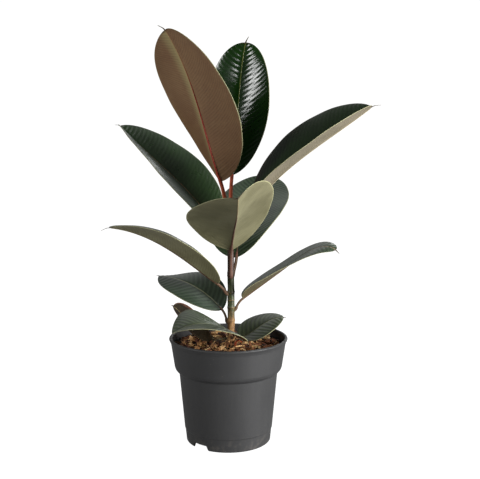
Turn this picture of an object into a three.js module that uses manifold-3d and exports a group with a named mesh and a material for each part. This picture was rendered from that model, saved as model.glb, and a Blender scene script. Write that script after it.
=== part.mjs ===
// Potted rubber plant (Ficus elastica): one upright stem with twelve broad leathery leaves and a
// terminal bud, growing from bark potting mix in a tapered plastic nursery pot.
//
// Millimetres. +Z is up, +X is to the right and the front faces -Y. The origin is the middle of the
// pot's underside, on the surface that the pot stands on.
import * as THREE from "three";
import { LoftGeometry } from "three/addons/geometries/LoftGeometry.js";
import { mergeVertices } from "three/addons/utils/BufferGeometryUtils.js";
import Module from "manifold-3d";

const { Vector2, Vector3, MathUtils } = THREE;

const wasm = await Module();
wasm.setup();

// ---------------------------------------------------------------------------- sizes

// Air left between two neighbouring solids.
const CLEARANCE = 0.3;

// The pot: a tapered body, a wider band above a rounded shoulder, and a lip that flares out.
const POT = {
  height: 151.5,
  lipRadius: 85,
  wall: 1.8,
  lipDepth: 8.5,
  lipRounding: 1.4,
  lipOverhang: 2.8,
  bandTaper: 5,
  bandLowDepth: 41.5,
  shoulder: 6.4,
  neckDepth: 49.5,
  bodyTaper: 10.3,
  ledgeHeight: 19,
  ledgeStep: 0.8,
  baseChamfer: 1.5,
  skirt: 2.6,
  floorHeight: 9,
  padRadius: 22,
  padSlope: 5,
  segments: 40,
};

// Openings for water: holes through the raised floor and notches through the skirt under it.
const DRAINS = {
  holes: 6,
  holeRadius: 5,
  notches: 2,
  notchWidth: 26,
  notchHeight: 6.5,
  firstNotch: -131,
};

// The potting mix fills the pot to a little under the lip and rises towards the stem.
const MIX = {
  gap: 0.5,
  depthBelowRim: 12.5,
  mound: 3,
  unevenness: 0.7,
  rings: 5,
};

// The stem stands a little to the right of the pot's middle.
const STEM = {
  offset: 3.7,
  aboveLastNode: 3,
  footRadius: 5.3,
  topRadius: 4.2,
  rooted: 42,
  nodeSwell: 0.5,
  nodeReach: 2.6,
  sides: 10,
};

const BUD = { length: 20, radius: 2.9, lean: 6, sides: 10 };

// Bark chips lie on the mix in a spiral, each a flattened nugget.
const CHIPS = {
  count: 22,
  innerRadius: 29,
  wallMargin: 12,
  turn: 137.5,
  firstBearing: 96,
  lengths: [17, 13, 15, 11, 14],
  widths: [10, 9, 8, 7.5],
  heights: [6, 5, 6.5],
  lift: 0.5,
  room: 1.12, // the share of its own size that a chip keeps free round itself
  sidestep: 6,
};

// Sizes that every leaf shares.
const LAMINA = {
  thickness: 1.1,
  curl: 12, // degrees by which each half rolls back down between midrib and margin
  widest: 1.1,
  fullness: 0.5,
  dripRadius: 0.8,
  steps: 13,
};

// Each leaf's own sizes, in millimetres and degrees.
//   node     height of its joint on the stem, above the potting mix at the pot's wall
//   petiole  radius, length, and the bearing and rise with which it leaves the stem
//   blade    length and greatest width
//   bearing  of the midrib at its base and tip, counterclockwise from +X seen from above
//   rise     of the midrib at its base, middle and tip, above the horizontal
//   roll     of the blade about the midrib at its base and tip, positive with the right half down
//   fold     lift of each half at its base and tip, which makes the V of the blade
//   drip     length and rise of the narrow drip tip
//   droop    how far the last part of the blade bends down beyond the rise above
const LEAVES = {
  leaf_crown_left: {
    node: 182, petiole: [2.6, 56, -124, 84], blade: [218, 133], bearing: [-138, -174],
    rise: [67, 72, 56], roll: [0, 33], fold: [33, -8], drip: [11, 17],
  },
  leaf_crown_back: {
    node: 186, petiole: [2.6, 60, 93, 78], blade: [195, 107], bearing: [77, 44],
    rise: [64, 81, 74], roll: [-27, 16], fold: [-1, 13], drip: [11, 45],
  },
  leaf_upper_left: {
    node: 152, petiole: [2.3, 28, 153, 44], blade: [230, 110], bearing: [137, 152],
    rise: [45, 35, 41], roll: [-10, 2], fold: [29, 30], drip: [10, -7],
  },
  leaf_upper_right: {
    node: 170, petiole: [2.3, 34, 3, 49], blade: [224, 119], bearing: [-42, 8],
    rise: [51, 37, 37], roll: [37, 6], fold: [31, 31], drip: [13, -2],
  },
  leaf_front: {
    node: 105, petiole: [2.5, 46, -92, 74], blade: [219, 125], bearing: [-85, -89],
    rise: [40, 18, 31], roll: [8, 24], fold: [19, 37], drip: [8, 10],
  },
  leaf_rear: {
    node: 102, petiole: [2.3, 30, 68, 48], blade: [218, 119], bearing: [84, 64],
    rise: [43, 24, 36], roll: [-19, 9], fold: [9, 14], drip: [8, 20],
  },
  leaf_middle_left: {
    node: 78, petiole: [1.9, 17, -168, 55], blade: [178, 104], bearing: [-158, -163],
    rise: [37, 33, 7], roll: [-11, 8], fold: [39, 14], drip: [12, -31],
  },
  leaf_middle_right: {
    node: 55, petiole: [1.7, 16, 8, 70], blade: [158, 78], bearing: [10, -26],
    rise: [36, 39, 53], roll: [-13, 17], fold: [26, 0], drip: [8, -48],
    widest: 0.75, fullness: 0.47, droop: 88,
  },
  leaf_lower_left: {
    node: 36, petiole: [1.7, 16, 144, 80], blade: [113, 75], bearing: [152, 162],
    rise: [44, 23, 1], roll: [-41, -4], fold: [26, -10], drip: [5, -10],
  },
  leaf_rim_left: {
    node: 13, petiole: [1.6, 12, -63, 37], blade: [121, 99], bearing: [-107, -172],
    rise: [26, 16, -38], roll: [-25, 5], fold: [6, 16], drip: [4, -50],
  },
  leaf_rim_right: {
    node: 8, petiole: [1.5, 4, -21, 29], blade: [74, 67], bearing: [22, -4],
    rise: [9, 34, -2], roll: [18, 8], fold: [20, -3], drip: [4, -10],
  },
  leaf_soil_left: {
    node: 9, petiole: [1.3, 17, 171, -3], blade: [84, 46], bearing: [198, 165],
    rise: [-16, 57, 28], roll: [30, 61], fold: [40, 21], drip: [3, 15],
  },
};

const FINISH = {
  pot: { color: 0x444445, roughness: 0.55 },
  mix: { color: 0x4a3222, roughness: 0.95 },
  stem: { color: 0x6b6a3c, roughness: 0.7 },
  bud: { color: 0x8c3a2a, roughness: 0.5 },
  leaf: { color: 0x24402c, roughness: 0.32 },
  chips: [0x8a5a33, 0xb07a45, 0x6a4127, 0x9c6b3d, 0x54351f],
};

// ---------------------------------------------------------------------------- small helpers

const radians = MathUtils.degToRad;
const lerp = MathUtils.lerp;
const clamp = MathUtils.clamp;

// The value at t of the parabola through a at 0, b at one half and c at 1.
function parabola([a, b, c], t) {
  return a + (4 * b - 3 * a - c) * t + 2 * (a - 2 * b + c) * t * t;
}

function mesh(name, geometry, finish) {
  const material = new THREE.MeshStandardMaterial({ metalness: 0, ...finish });
  const made = new THREE.Mesh(geometry, material);
  made.name = name;
  return made;
}

// A closed geometry as a solid that can be joined or cut.
function toSolid(geometry) {
  const bare = new THREE.BufferGeometry().copy(geometry);
  bare.deleteAttribute("normal");
  bare.deleteAttribute("uv");
  const merged = mergeVertices(bare, 1e-4);
  return new wasm.Manifold(
    new wasm.Mesh({
      numProp: 3,
      vertProperties: new Float32Array(merged.attributes.position.array),
      triVerts: new Uint32Array(merged.index.array),
    }),
  );
}

function toGeometry(solid) {
  const data = solid.getMesh();
  const geometry = new THREE.BufferGeometry();
  geometry.setAttribute("position", new THREE.BufferAttribute(data.vertProperties, 3));
  geometry.setIndex(new THREE.BufferAttribute(data.triVerts, 1));
  geometry.computeVertexNormals();
  return geometry;
}

// A solid turned about +Z from [radius, height] pairs.
function turned(profile, segments) {
  const points = profile.map(([radius, height]) => new Vector2(radius, height));
  return new THREE.LatheGeometry(points, segments).rotateX(Math.PI / 2);
}

// A cylinder about the line through (x, y), from one height to another.
function post(x, y, radius, from, to, segments) {
  const cylinder = new THREE.CylinderGeometry(radius, radius, to - from, segments);
  return cylinder.rotateX(Math.PI / 2).translate(x, y, (from + to) / 2);
}

// ---------------------------------------------------------------------------- pot

const MIX_LINE = POT.height - MIX.depthBelowRim;
const BAND_TOP_RADIUS = POT.lipRadius - POT.lipOverhang;
const BAND_LOW_RADIUS = BAND_TOP_RADIUS - POT.bandTaper;
const NECK_RADIUS = BAND_LOW_RADIUS - POT.shoulder;
const BASE_RADIUS = NECK_RADIUS - POT.bodyTaper;

// The outside of the body is a straight taper from the base to the neck.
function bodyRadius(height) {
  return lerp(BASE_RADIUS, NECK_RADIUS, height / (POT.height - POT.neckDepth));
}

// The outside of the wall from the ledge up to the underside of the lip, as [radius, height].
function wallProfile() {
  const neck = POT.height - POT.neckDepth;
  const band = POT.height - POT.bandLowDepth;
  const lip = POT.height - POT.lipDepth;
  const shoulder = [0.45, 0.82, 1].map((share, i) => [
    lerp(NECK_RADIUS, BAND_LOW_RADIUS, share),
    lerp(neck, band, [0.25, 0.6, 1][i]),
  ]);
  return [
    [bodyRadius(POT.ledgeHeight) + POT.ledgeStep, POT.ledgeHeight + POT.ledgeStep],
    [NECK_RADIUS, neck],
    ...shoulder,
    [BAND_TOP_RADIUS, lip],
  ];
}

// The room inside the wall, from the raised floor to the band's top, less a gap.
function innerProfile(gap) {
  const inset = POT.wall + gap;
  const low = POT.floorHeight + POT.wall + gap;
  const walls = wallProfile().map(([radius, height]) => [radius - inset, height + inset / 2]);
  return [[bodyRadius(low) - inset, low], ...walls];
}

// The floor seen from inside, from the wall to the axis, less a gap: raised, with a well.
function floorProfile(gap) {
  const inset = POT.wall + gap;
  return [
    [POT.padRadius + POT.padSlope - inset / 2, POT.floorHeight + inset],
    [POT.padRadius - inset / 2, inset],
    [0, inset],
  ];
}

function potGeometry() {
  const top = POT.height;
  const rounding = POT.lipRounding;
  const skirtRadius = BASE_RADIUS - POT.skirt;
  const outside = [
    [0, 0],
    [POT.padRadius, 0],
    [POT.padRadius + POT.padSlope, POT.floorHeight],
    [skirtRadius, POT.floorHeight],
    [skirtRadius, 0],
    [BASE_RADIUS - POT.baseChamfer, 0],
    [bodyRadius(POT.baseChamfer), POT.baseChamfer],
    [bodyRadius(POT.ledgeHeight), POT.ledgeHeight],
    ...wallProfile(),
    [POT.lipRadius - 0.6 * POT.lipOverhang, top - 0.62 * POT.lipDepth],
    [POT.lipRadius - 0.12 * POT.lipOverhang, top - 0.34 * POT.lipDepth],
    [POT.lipRadius, top - rounding],
    [POT.lipRadius - rounding, top],
    [BAND_TOP_RADIUS - 0.3 * rounding, top],
    [BAND_TOP_RADIUS - POT.wall, top - rounding],
  ];
  const inside = innerProfile(0).reverse();
  const shell = turned([...outside, ...inside, ...floorProfile(0)], POT.segments);

  let solid = toSolid(shell);
  const circle = (POT.padRadius + POT.padSlope + skirtRadius) / 2;
  for (let i = 0; i < DRAINS.holes; i++) {
    const bearing = radians((360 * (i + 0.5)) / DRAINS.holes);
    const [x, y] = [circle * Math.cos(bearing), circle * Math.sin(bearing)];
    const reach = POT.floorHeight + 2 * POT.wall;
    solid = solid.subtract(toSolid(post(x, y, DRAINS.holeRadius, 1, reach, 16)));
  }
  for (let i = 0; i < DRAINS.notches; i++) {
    const bearing = radians(DRAINS.firstNotch + (360 * i) / DRAINS.notches);
    const length = 4 * POT.skirt;
    const block = new THREE.BoxGeometry(length, DRAINS.notchWidth, 2 * DRAINS.notchHeight);
    block.translate(BASE_RADIUS - length / 2 + 1.5, 0, 0).rotateZ(bearing);
    solid = solid.subtract(toSolid(block));
  }
  return toGeometry(solid);
}

// ---------------------------------------------------------------------------- potting mix

// The radius of the mix where it meets the wall.
function mixRadius() {
  const gap = POT.wall + MIX.gap;
  const band = POT.height - POT.bandLowDepth;
  const lip = POT.height - POT.lipDepth;
  const share = (MIX_LINE - gap / 2 - band) / (lip - band);
  return lerp(BAND_LOW_RADIUS, BAND_TOP_RADIUS, share) - gap;
}

// The height of the mix at a place: a low mound round the stem, slightly uneven.
function mixHeight(x, y) {
  const out = Math.hypot(x - STEM.offset, y) / mixRadius();
  const rise = MIX.mound * Math.max(0, 1 - out * out);
  const waves = Math.sin(x / 8.5 + 0.6) * Math.cos(y / 10.5);
  const fade = clamp(3 * (1 - Math.hypot(x, y) / mixRadius()), 0, 1);
  return MIX_LINE + rise + MIX.unevenness * waves * fade;
}

function mixGeometry() {
  const radius = mixRadius();
  const sides = innerProfile(MIX.gap).filter(([, height]) => height < MIX_LINE - 1);
  const surface = [];
  for (let i = 0; i <= MIX.rings; i++) {
    surface.push([radius * (1 - i / MIX.rings), MIX_LINE]);
  }
  const profile = [...floorProfile(MIX.gap).reverse(), ...sides, ...surface];
  const geometry = turned(profile, 36);
  const place = geometry.getAttribute("position");
  for (let i = 0; i < place.count; i++) {
    if (place.getZ(i) > MIX_LINE - 0.01) {
      place.setZ(i, mixHeight(place.getX(i), place.getY(i)));
    }
  }
  const socket = STEM.footRadius + STEM.nodeSwell + 2 * CLEARANCE;
  const bottom = MIX_LINE - STEM.rooted - CLEARANCE;
  const bore = post(STEM.offset, 0, socket, bottom, MIX_LINE + MIX.mound + 10, 16);
  return toGeometry(toSolid(geometry).subtract(toSolid(bore)));
}

// ---------------------------------------------------------------------------- stem and bud

const NODES = Object.values(LEAVES).map((leaf) => MIX_LINE + leaf.node);
const APEX = Math.max(...NODES) + STEM.aboveLastNode;

// The stem's radius: an even taper, swollen a little at each leaf's joint.
function stemRadius(height) {
  const share = clamp((height - MIX_LINE) / (APEX - MIX_LINE), 0, 1);
  const plain = lerp(STEM.footRadius, STEM.topRadius, share);
  const swell = NODES.map((node) => Math.exp(-(((height - node) / STEM.nodeReach) ** 2)));
  return plain + STEM.nodeSwell * Math.max(...swell);
}

function stemGeometry() {
  const foot = MIX_LINE - STEM.rooted;
  const heights = [foot, MIX_LINE - 6, APEX - 1.5, APEX];
  for (const node of NODES) {
    heights.push(node - 1.6 * STEM.nodeReach, node, node + 1.6 * STEM.nodeReach);
  }
  heights.sort((a, b) => a - b);
  const spaced = heights.filter((height, i) => i === 0 || height - heights[i - 1] > 0.8);
  const sections = spaced
    .filter((height) => height <= APEX)
    .map((height) => {
      const radius = height === APEX ? 0.6 * STEM.topRadius : stemRadius(height);
      return Array.from({ length: STEM.sides }, (_, i) => {
        const angle = (2 * Math.PI * i) / STEM.sides;
        const [x, y] = [radius * Math.cos(angle), radius * Math.sin(angle)];
        return new Vector3(STEM.offset + x, y, height);
      });
    });
  return new LoftGeometry(sections, { capStart: true, capEnd: true });
}

// The closed sheath at the stem's end: swollen near its foot and drawn out to a point.
function budGeometry() {
  const { length, radius } = BUD;
  const profile = [
    [0, 0],
    [0.75 * radius, 0],
    [radius, 0.22 * length],
    [0.8 * radius, 0.48 * length],
    [0.38 * radius, 0.8 * length],
    [0, length],
  ];
  return turned(profile, BUD.sides);
}

// ---------------------------------------------------------------------------- leaves

// Axes of a place on a leaf: forward along the midrib, the upper normal and the right-hand side.
function axes(bearing, rise, roll) {
  const [b, r, turn] = [radians(bearing), radians(rise), radians(roll)];
  const flatSide = new Vector3(Math.sin(b), -Math.cos(b), 0);
  const forward = new Vector3(Math.cos(r) * Math.cos(b), Math.cos(r) * Math.sin(b), Math.sin(r));
  const up = flatSide.clone().cross(forward);
  const normal = up.clone().multiplyScalar(Math.cos(turn));
  normal.addScaledVector(flatSide, Math.sin(turn));
  return { forward, normal, side: forward.clone().cross(normal) };
}

// The places at each share of a path that starts somewhere and heads as direction(share) says.
function walk(start, length, direction, shares) {
  const places = [start.clone()];
  const here = start.clone();
  for (let i = 1; i < shares.length; i++) {
    const span = shares[i] - shares[i - 1];
    for (let k = 0; k < 6; k++) {
      const share = shares[i - 1] + (span * (k + 0.5)) / 6;
      here.addScaledVector(direction(share), (length * span) / 6);
    }
    places.push(here.clone());
  }
  return places;
}

// Places across the blade, from the left margin (-1) to the right one (1).
const ACROSS = [-1, -0.6, -0.2, 0, 0.2, 0.6, 1];
const ROUND = [170, 150, 115, 90, 65, 30, 10];

// One closed section: round while the half-width is small, and a folded blade once it is wide.
function leafSection(place, frame, { halfWidth, fold, rib, radius, thickness }) {
  const bladed = clamp((halfWidth - radius) / (2 * radius), 0, 1);
  const [start, curl] = [radians(fold), radians(LAMINA.curl)];
  const width = Math.max(halfWidth, radius);

  const put = (across, lift, angle) => {
    const hand = Math.sign(across);
    const slope = start - curl * Math.abs(across);
    const out = (hand * width * (Math.sin(start) - Math.sin(slope))) / curl;
    const up = (width * (Math.cos(slope) - Math.cos(start))) / curl;
    const flat = new Vector2(
      out - hand * lift * Math.sin(slope),
      up + lift * (across ? Math.cos(slope) : 1),
    );
    const turn = radians(angle);
    const round = new Vector2(radius * Math.cos(turn), radius * Math.sin(turn));
    const at = round.lerp(flat, bladed);
    return place.clone().addScaledVector(frame.side, at.x).addScaledVector(frame.normal, at.y);
  };

  const half = thickness / 2;
  const beside = clamp((1.2 * rib + half) / width, 0.04, 0.5);
  const under = [1, 0.6, beside, 0, -beside, -0.6, -1];
  const upper = ACROSS.map((across, i) => put(across, half, ROUND[i]));
  const lower = under.map((across, i) => {
    const lift = across === 0 ? -half - rib : -half;
    return put(across, lift, -ROUND[under.length - 1 - i]);
  });
  return [...upper, ...lower];
}

// A whole leaf as one solid: petiole, blade with its midrib, and drip tip.
function leafGeometry(leaf) {
  const [petioleRadius, petioleLength, leaving, lift] = leaf.petiole;
  const [length, width] = leaf.blade;
  const { bearing, rise, roll, fold } = leaf;
  const [dripLength, dripRise] = leaf.drip;
  const droop = leaf.droop ?? 0;
  const widest = leaf.widest ?? LAMINA.widest;
  const fullness = leaf.fullness ?? LAMINA.fullness;
  const joint = MIX_LINE + leaf.node;

  const stalkAxes = (u) =>
    axes(lerp(leaving, bearing[0], u), lerp(lift, rise[0], u), lerp(0, roll[0], u));
  const bladeAxes = (t) =>
    axes(lerp(...bearing, t), parabola(rise, t) - droop * t ** 6, lerp(...roll, t));
  const endRise = rise[2] - droop;
  const dripAxes = (u) => axes(bearing[1], lerp(endRise, dripRise, Math.sqrt(u)), roll[1]);
  const halfWidth = (t) => {
    const share = t ** widest;
    return (width / 2) * (4 * share * (1 - share)) ** fullness;
  };

  // The petiole's end face clears the stem whichever way it leans.
  const standOff = stemRadius(joint) + CLEARANCE + petioleRadius * Math.sin(radians(Math.abs(lift)));
  const start = new Vector3(STEM.offset, 0, joint).addScaledVector(
    new Vector3(Math.cos(radians(leaving)), Math.sin(radians(leaving)), 0),
    standOff + 0.6,
  );

  const stalkShares = [0, 0.35, 0.7, 1];
  const bladeShares = Array.from({ length: LAMINA.steps + 1 }, (_, i) =>
    (1 - Math.cos((Math.PI * i) / LAMINA.steps)) / 2,
  );
  const dripShares = [0, 0.45, 1];
  const forward = (turn) => (share) => turn(share).forward;
  const stalk = walk(start, petioleLength, forward(stalkAxes), stalkShares);
  const blade = walk(stalk.at(-1), length, forward(bladeAxes), bladeShares);
  const drip = walk(blade.at(-1), dripLength, forward(dripAxes), dripShares);

  const round = (radius) => ({ halfWidth: 0, fold: 0, rib: 0, radius, thickness: 1 });
  const sections = [];
  stalkShares.slice(0, -1).forEach((u, i) => {
    const flare = 1 + 0.2 * (1 - u) ** 3;
    sections.push(leafSection(stalk[i], stalkAxes(u), round(petioleRadius * flare)));
  });
  bladeShares.forEach((t, i) => {
    sections.push(
      leafSection(blade[i], bladeAxes(t), {
        halfWidth: halfWidth(t),
        fold: lerp(...fold, t),
        rib: lerp(0.75 * petioleRadius, 0.3, t),
        radius: lerp(petioleRadius, LAMINA.dripRadius, t),
        thickness: LAMINA.thickness,
      }),
    );
  });
  dripShares.slice(1).forEach((u, i) => {
    const radius = LAMINA.dripRadius * lerp(0.9, 0.45, u);
    sections.push(leafSection(drip[i + 1], dripAxes(u), round(radius)));
  });
  return new LoftGeometry(sections, { capStart: true, capEnd: true });
}

// ---------------------------------------------------------------------------- bark chips

// The nth chip: a flattened nugget, turned and tipped. It goes on round the pot from its own place
// until it lies clear of the solids that are there, then comes down until it all but rests on the mix.
function chipMesh(n, neighbours) {
  const share = (n + 0.5) / CHIPS.count;
  const outerRadius = mixRadius() - CHIPS.wallMargin;
  const out = Math.sqrt(lerp(CHIPS.innerRadius ** 2, outerRadius ** 2, share));
  const length = CHIPS.lengths[n % CHIPS.lengths.length];
  const width = CHIPS.widths[n % CHIPS.widths.length];
  const height = CHIPS.heights[n % CHIPS.heights.length];

  const nugget = new THREE.IcosahedronGeometry(0.5, 0).scale(length, width, height);
  const chip = new THREE.Group();
  chip.rotation.z = n * 1.9;
  const body = mesh(`bark_chip_${String(n + 1).padStart(2, "0")}`, nugget, {
    color: FINISH.chips[n % FINISH.chips.length],
    roughness: 0.9,
  });
  body.rotation.set(0.25 * Math.sin(2.3 * n), 0.22 * Math.cos(1.7 * n), 0);
  chip.add(body);

  // Sets the chip down at a bearing, and says whether it stays clear there.
  const setDown = (bearing) => {
    chip.position.set(out * Math.cos(bearing), out * Math.sin(bearing), 0);
    chip.updateMatrixWorld(true);
    const place = nugget.getAttribute("position");
    let drop = Infinity;
    for (let i = 0; i < place.count; i++) {
      const corner = new Vector3().fromBufferAttribute(place, i).applyMatrix4(body.matrixWorld);
      drop = Math.min(drop, corner.z - mixHeight(corner.x, corner.y));
    }
    chip.position.z = CLEARANCE + CHIPS.lift - drop;
    chip.updateMatrixWorld(true);
    const room = nugget.clone().scale(CHIPS.room, CHIPS.room, CHIPS.room);
    const taken = toSolid(room.applyMatrix4(body.matrixWorld));
    return neighbours.every((solid) => taken.intersect(solid).isEmpty());
  };
  const home = CHIPS.firstBearing + n * CHIPS.turn;
  const bearings = Array.from({ length: 360 / CHIPS.sidestep }, (_, k) => home + k * CHIPS.sidestep);
  const free = bearings.find((bearing) => setDown(radians(bearing))) ?? home;
  setDown(radians(free));
  neighbours.push(toSolid(nugget.clone().applyMatrix4(body.matrixWorld)));
  return chip;
}

// ---------------------------------------------------------------------------- the plant

const plant = new THREE.Group();
plant.add(mesh("pot", potGeometry(), FINISH.pot));
plant.add(mesh("potting_mix", mixGeometry(), FINISH.mix));
plant.add(mesh("stem", stemGeometry(), FINISH.stem));

const bud = mesh("terminal_bud", budGeometry(), FINISH.bud);
bud.position.set(STEM.offset, 0, APEX + 2 * CLEARANCE);
bud.rotation.y = radians(BUD.lean);
plant.add(bud);

const leaves = Object.entries(LEAVES).map(([name, leaf]) =>
  mesh(name, leafGeometry(leaf), FINISH.leaf),
);
plant.add(...leaves);

const neighbours = leaves.map((leaf) => toSolid(leaf.geometry));
for (let n = 0; n < CHIPS.count; n++) {
  plant.add(chipMesh(n, neighbours));
}

export default plant;
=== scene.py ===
"""Looks of a potted rubber plant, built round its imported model.

Each piece of the plant is a class that holds its own sizes, works its surface out as numpy arrays and
dresses it in a finish. The plant's and the pot's sizes are in millimetres and degrees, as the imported
model's are. The finished shells, the lengths inside a material and the studio are in metres.
"""

import logging
from dataclasses import dataclass, field, replace
from enum import Enum
from typing import Callable, Mapping, Sequence, Union

import bpy
import numpy as np
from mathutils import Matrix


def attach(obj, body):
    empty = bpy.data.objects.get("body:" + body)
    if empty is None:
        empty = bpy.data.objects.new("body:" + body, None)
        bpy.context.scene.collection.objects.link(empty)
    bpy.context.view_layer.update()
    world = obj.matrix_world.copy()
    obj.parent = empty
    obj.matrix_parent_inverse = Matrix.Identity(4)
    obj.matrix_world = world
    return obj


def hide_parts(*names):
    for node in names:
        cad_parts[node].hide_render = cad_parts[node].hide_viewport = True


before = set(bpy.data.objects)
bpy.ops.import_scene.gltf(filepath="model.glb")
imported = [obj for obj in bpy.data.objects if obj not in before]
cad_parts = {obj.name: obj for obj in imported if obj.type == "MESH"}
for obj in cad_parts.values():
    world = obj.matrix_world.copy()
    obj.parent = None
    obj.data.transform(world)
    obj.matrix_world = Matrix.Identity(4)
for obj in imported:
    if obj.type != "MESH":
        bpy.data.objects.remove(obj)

LOG = logging.getLogger("rubber_plant")
MM = 0.001
BODY = "root"
Colour = tuple[float, float, float]
Value = Union[float, Colour, "Wire"]
Axes = tuple[np.ndarray, np.ndarray, np.ndarray]


# ------------------------------------------------------------------------------------ arithmetic


def tone(red: float, green: float, blue: float) -> Colour:
    """Turns a display colour into the linear colour that a shader takes.

    Args:
        red: Red from 0 to 255.
        green: Green from 0 to 255.
        blue: Blue from 0 to 255.

    Returns:
        The linear colour, from 0 to 1.
    """
    shares = np.array([red, green, blue]) / 255
    low = shares / 12.92
    high = ((shares + 0.055) / 1.055) ** 2.4
    return tuple(float(c) for c in np.where(shares <= 0.04045, low, high))


def smooth(low: float, high: float, value: np.ndarray) -> np.ndarray:
    """Rises from 0 at low to 1 at high along 3x^2 - 2x^3."""
    share = np.clip((value - low) / (high - low), 0, 1)
    return share * share * (3 - 2 * share)


def between(start: float, end: float, share: np.ndarray) -> np.ndarray:
    """The value a share of the way from start to end."""
    return start + (end - start) * share


def parabola(through: Sequence[float], share: np.ndarray) -> np.ndarray:
    """The parabola through three values: a + (4m - 3a - b) t + 2 (a - 2m + b) t^2.

    Args:
        through: Its values a, m and b at shares 0, one half and 1.
        share: Where it is wanted.

    Returns:
        The parabola's value at each share.
    """
    first, middle, last = through
    slope = 4 * middle - 3 * first - last
    return first + slope * share + 2 * (first - 2 * middle + last) * share**2


def ripple(places: np.ndarray, waves: int, length: float, seed: int) -> np.ndarray:
    """A smooth uneven height from -1 to 1 over a plane.

    It is the mean of sine waves of about the given length, each with its own seeded bearing, length
    and phase: sum of sin(k . p + phase) / sqrt(waves).

    Args:
        places: Points in the plane, with x and y on the last axis.
        waves: How many waves are added up.
        length: The mean wavelength, in the unit of the places.
        seed: Seed for the bearings, lengths and phases.

    Returns:
        One height for each place.
    """
    rng = np.random.default_rng(seed)
    bearing = rng.uniform(0, 2 * np.pi, waves)
    number = 2 * np.pi / (length * rng.uniform(0.6, 1.6, waves))
    phase = rng.uniform(0, 2 * np.pi, waves)
    run = places[..., :1] * np.cos(bearing) + places[..., 1:2] * np.sin(bearing)
    return np.sin(run * number + phase).sum(-1) / np.sqrt(waves)


def soft_corners(corners: Sequence[Sequence[float]], reach: float, steps: int) -> np.ndarray:
    """Rounds each inner corner of an open line.

    The corner c between a and b becomes the curve (1-u)^2 p + 2u(1-u) c + u^2 q, where p and q lie on
    the two sides at the reach from c, or at 45% of a side that is shorter.

    Args:
        corners: The line's corners as pairs.
        reach: How far from the corner the curve starts, in the unit of the corners.
        steps: Points along each curve.

    Returns:
        The rounded line, with its two ends kept.
    """
    line = np.array(corners, float)
    back, on = line[:-2] - line[1:-1], line[2:] - line[1:-1]
    back_length = np.linalg.norm(back, axis=1, keepdims=True)
    on_length = np.linalg.norm(on, axis=1, keepdims=True)
    start = line[1:-1] + back * np.minimum(reach / back_length, 0.45)
    end = line[1:-1] + on * np.minimum(reach / on_length, 0.45)
    u = np.linspace(0, 1, steps)[None, :, None]
    curve = (1 - u) ** 2 * start[:, None] + 2 * u * (1 - u) * line[1:-1, None] + u**2 * end[:, None]
    return np.concatenate([line[:1], curve.reshape(-1, 2), line[-1:]])


def turns(yaw: np.ndarray, tip: np.ndarray, bank: np.ndarray) -> np.ndarray:
    """Turning matrices Rz(yaw) Ry(tip) Rx(bank): first about +X, then about +Y, then about +Z.

    Args:
        yaw: Turn about +Z in radians.
        tip: Turn about +Y in radians.
        bank: Turn about +X in radians.

    Returns:
        One matrix for each row of the angles, with the shape (rows, 3, 3).
    """
    angles = np.broadcast_arrays(*np.atleast_1d(yaw, tip, bank))
    cy, sy, ct, st, cb, sb = (f(a) for a in angles for f in (np.cos, np.sin))
    zero, one = np.zeros(len(cy)), np.ones(len(cy))
    about_z = np.stack([cy, -sy, zero, sy, cy, zero, zero, zero, one], 1).reshape(-1, 3, 3)
    about_y = np.stack([ct, zero, st, zero, one, zero, -st, zero, ct], 1).reshape(-1, 3, 3)
    about_x = np.stack([one, zero, zero, zero, cb, -sb, zero, sb, cb], 1).reshape(-1, 3, 3)
    return about_z @ about_y @ about_x


# ------------------------------------------------------------------------------------ surfaces


@dataclass
class Shell:
    """A closed surface held as arrays: points, quads, triangles, and values kept at each point."""

    points: np.ndarray
    quads: np.ndarray
    triangles: np.ndarray
    values: dict[str, np.ndarray] = field(default_factory=dict)

    def volume(self) -> float:
        """Works out the signed volume: the sum of a . (b x c) / 6 over the triangles.

        Returns:
            The volume, negative where the faces point inwards.
        """
        halves = [self.quads[:, [0, 1, 2]], self.quads[:, [0, 2, 3]], self.triangles]
        a, b, c = np.moveaxis(self.points[np.concatenate(halves)], 1, 0)
        return float((a * np.cross(b, c)).sum() / 6)

    def faced_out(self) -> "Shell":
        """Turns every face outwards.

        Returns:
            This shell, or the same one with each face reversed.
        """
        if self.volume() >= 0:
            return self
        return Shell(self.points, self.quads[:, ::-1], self.triangles[:, ::-1], self.values)

    def joined(self, other: "Shell") -> "Shell":
        """Puts another shell beside this one, as an island of its own.

        Args:
            other: A shell that keeps the same values at its points.

        Returns:
            One shell that holds both.
        """
        shift = len(self.points)
        values = {
            name: np.concatenate([kept, other.values[name]]) for name, kept in self.values.items()
        }
        return Shell(
            np.concatenate([self.points, other.points]),
            np.concatenate([self.quads, other.quads + shift]),
            np.concatenate([self.triangles, other.triangles + shift]),
            values,
        )

    def build(self, name: str, rounded: bool = True) -> bpy.types.Object:
        """Makes the shell a mesh object at the origin.

        Args:
            name: The object's name.
            rounded: Whether its faces are shaded smooth.

        Returns:
            The new object, linked to the scene.
        """
        made = bpy.data.meshes.new(name)
        made.from_pydata(self.points.tolist(), [], self.quads.tolist() + self.triangles.tolist())
        made.polygons.foreach_set("use_smooth", np.full(len(made.polygons), rounded))
        for label, values in self.values.items():
            layer = made.attributes.new(label, "FLOAT", "POINT")
            layer.data.foreach_set("value", values.astype(np.float32))
        made.update()
        obj = bpy.data.objects.new(name, made)
        bpy.context.scene.collection.objects.link(obj)
        return obj


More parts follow.
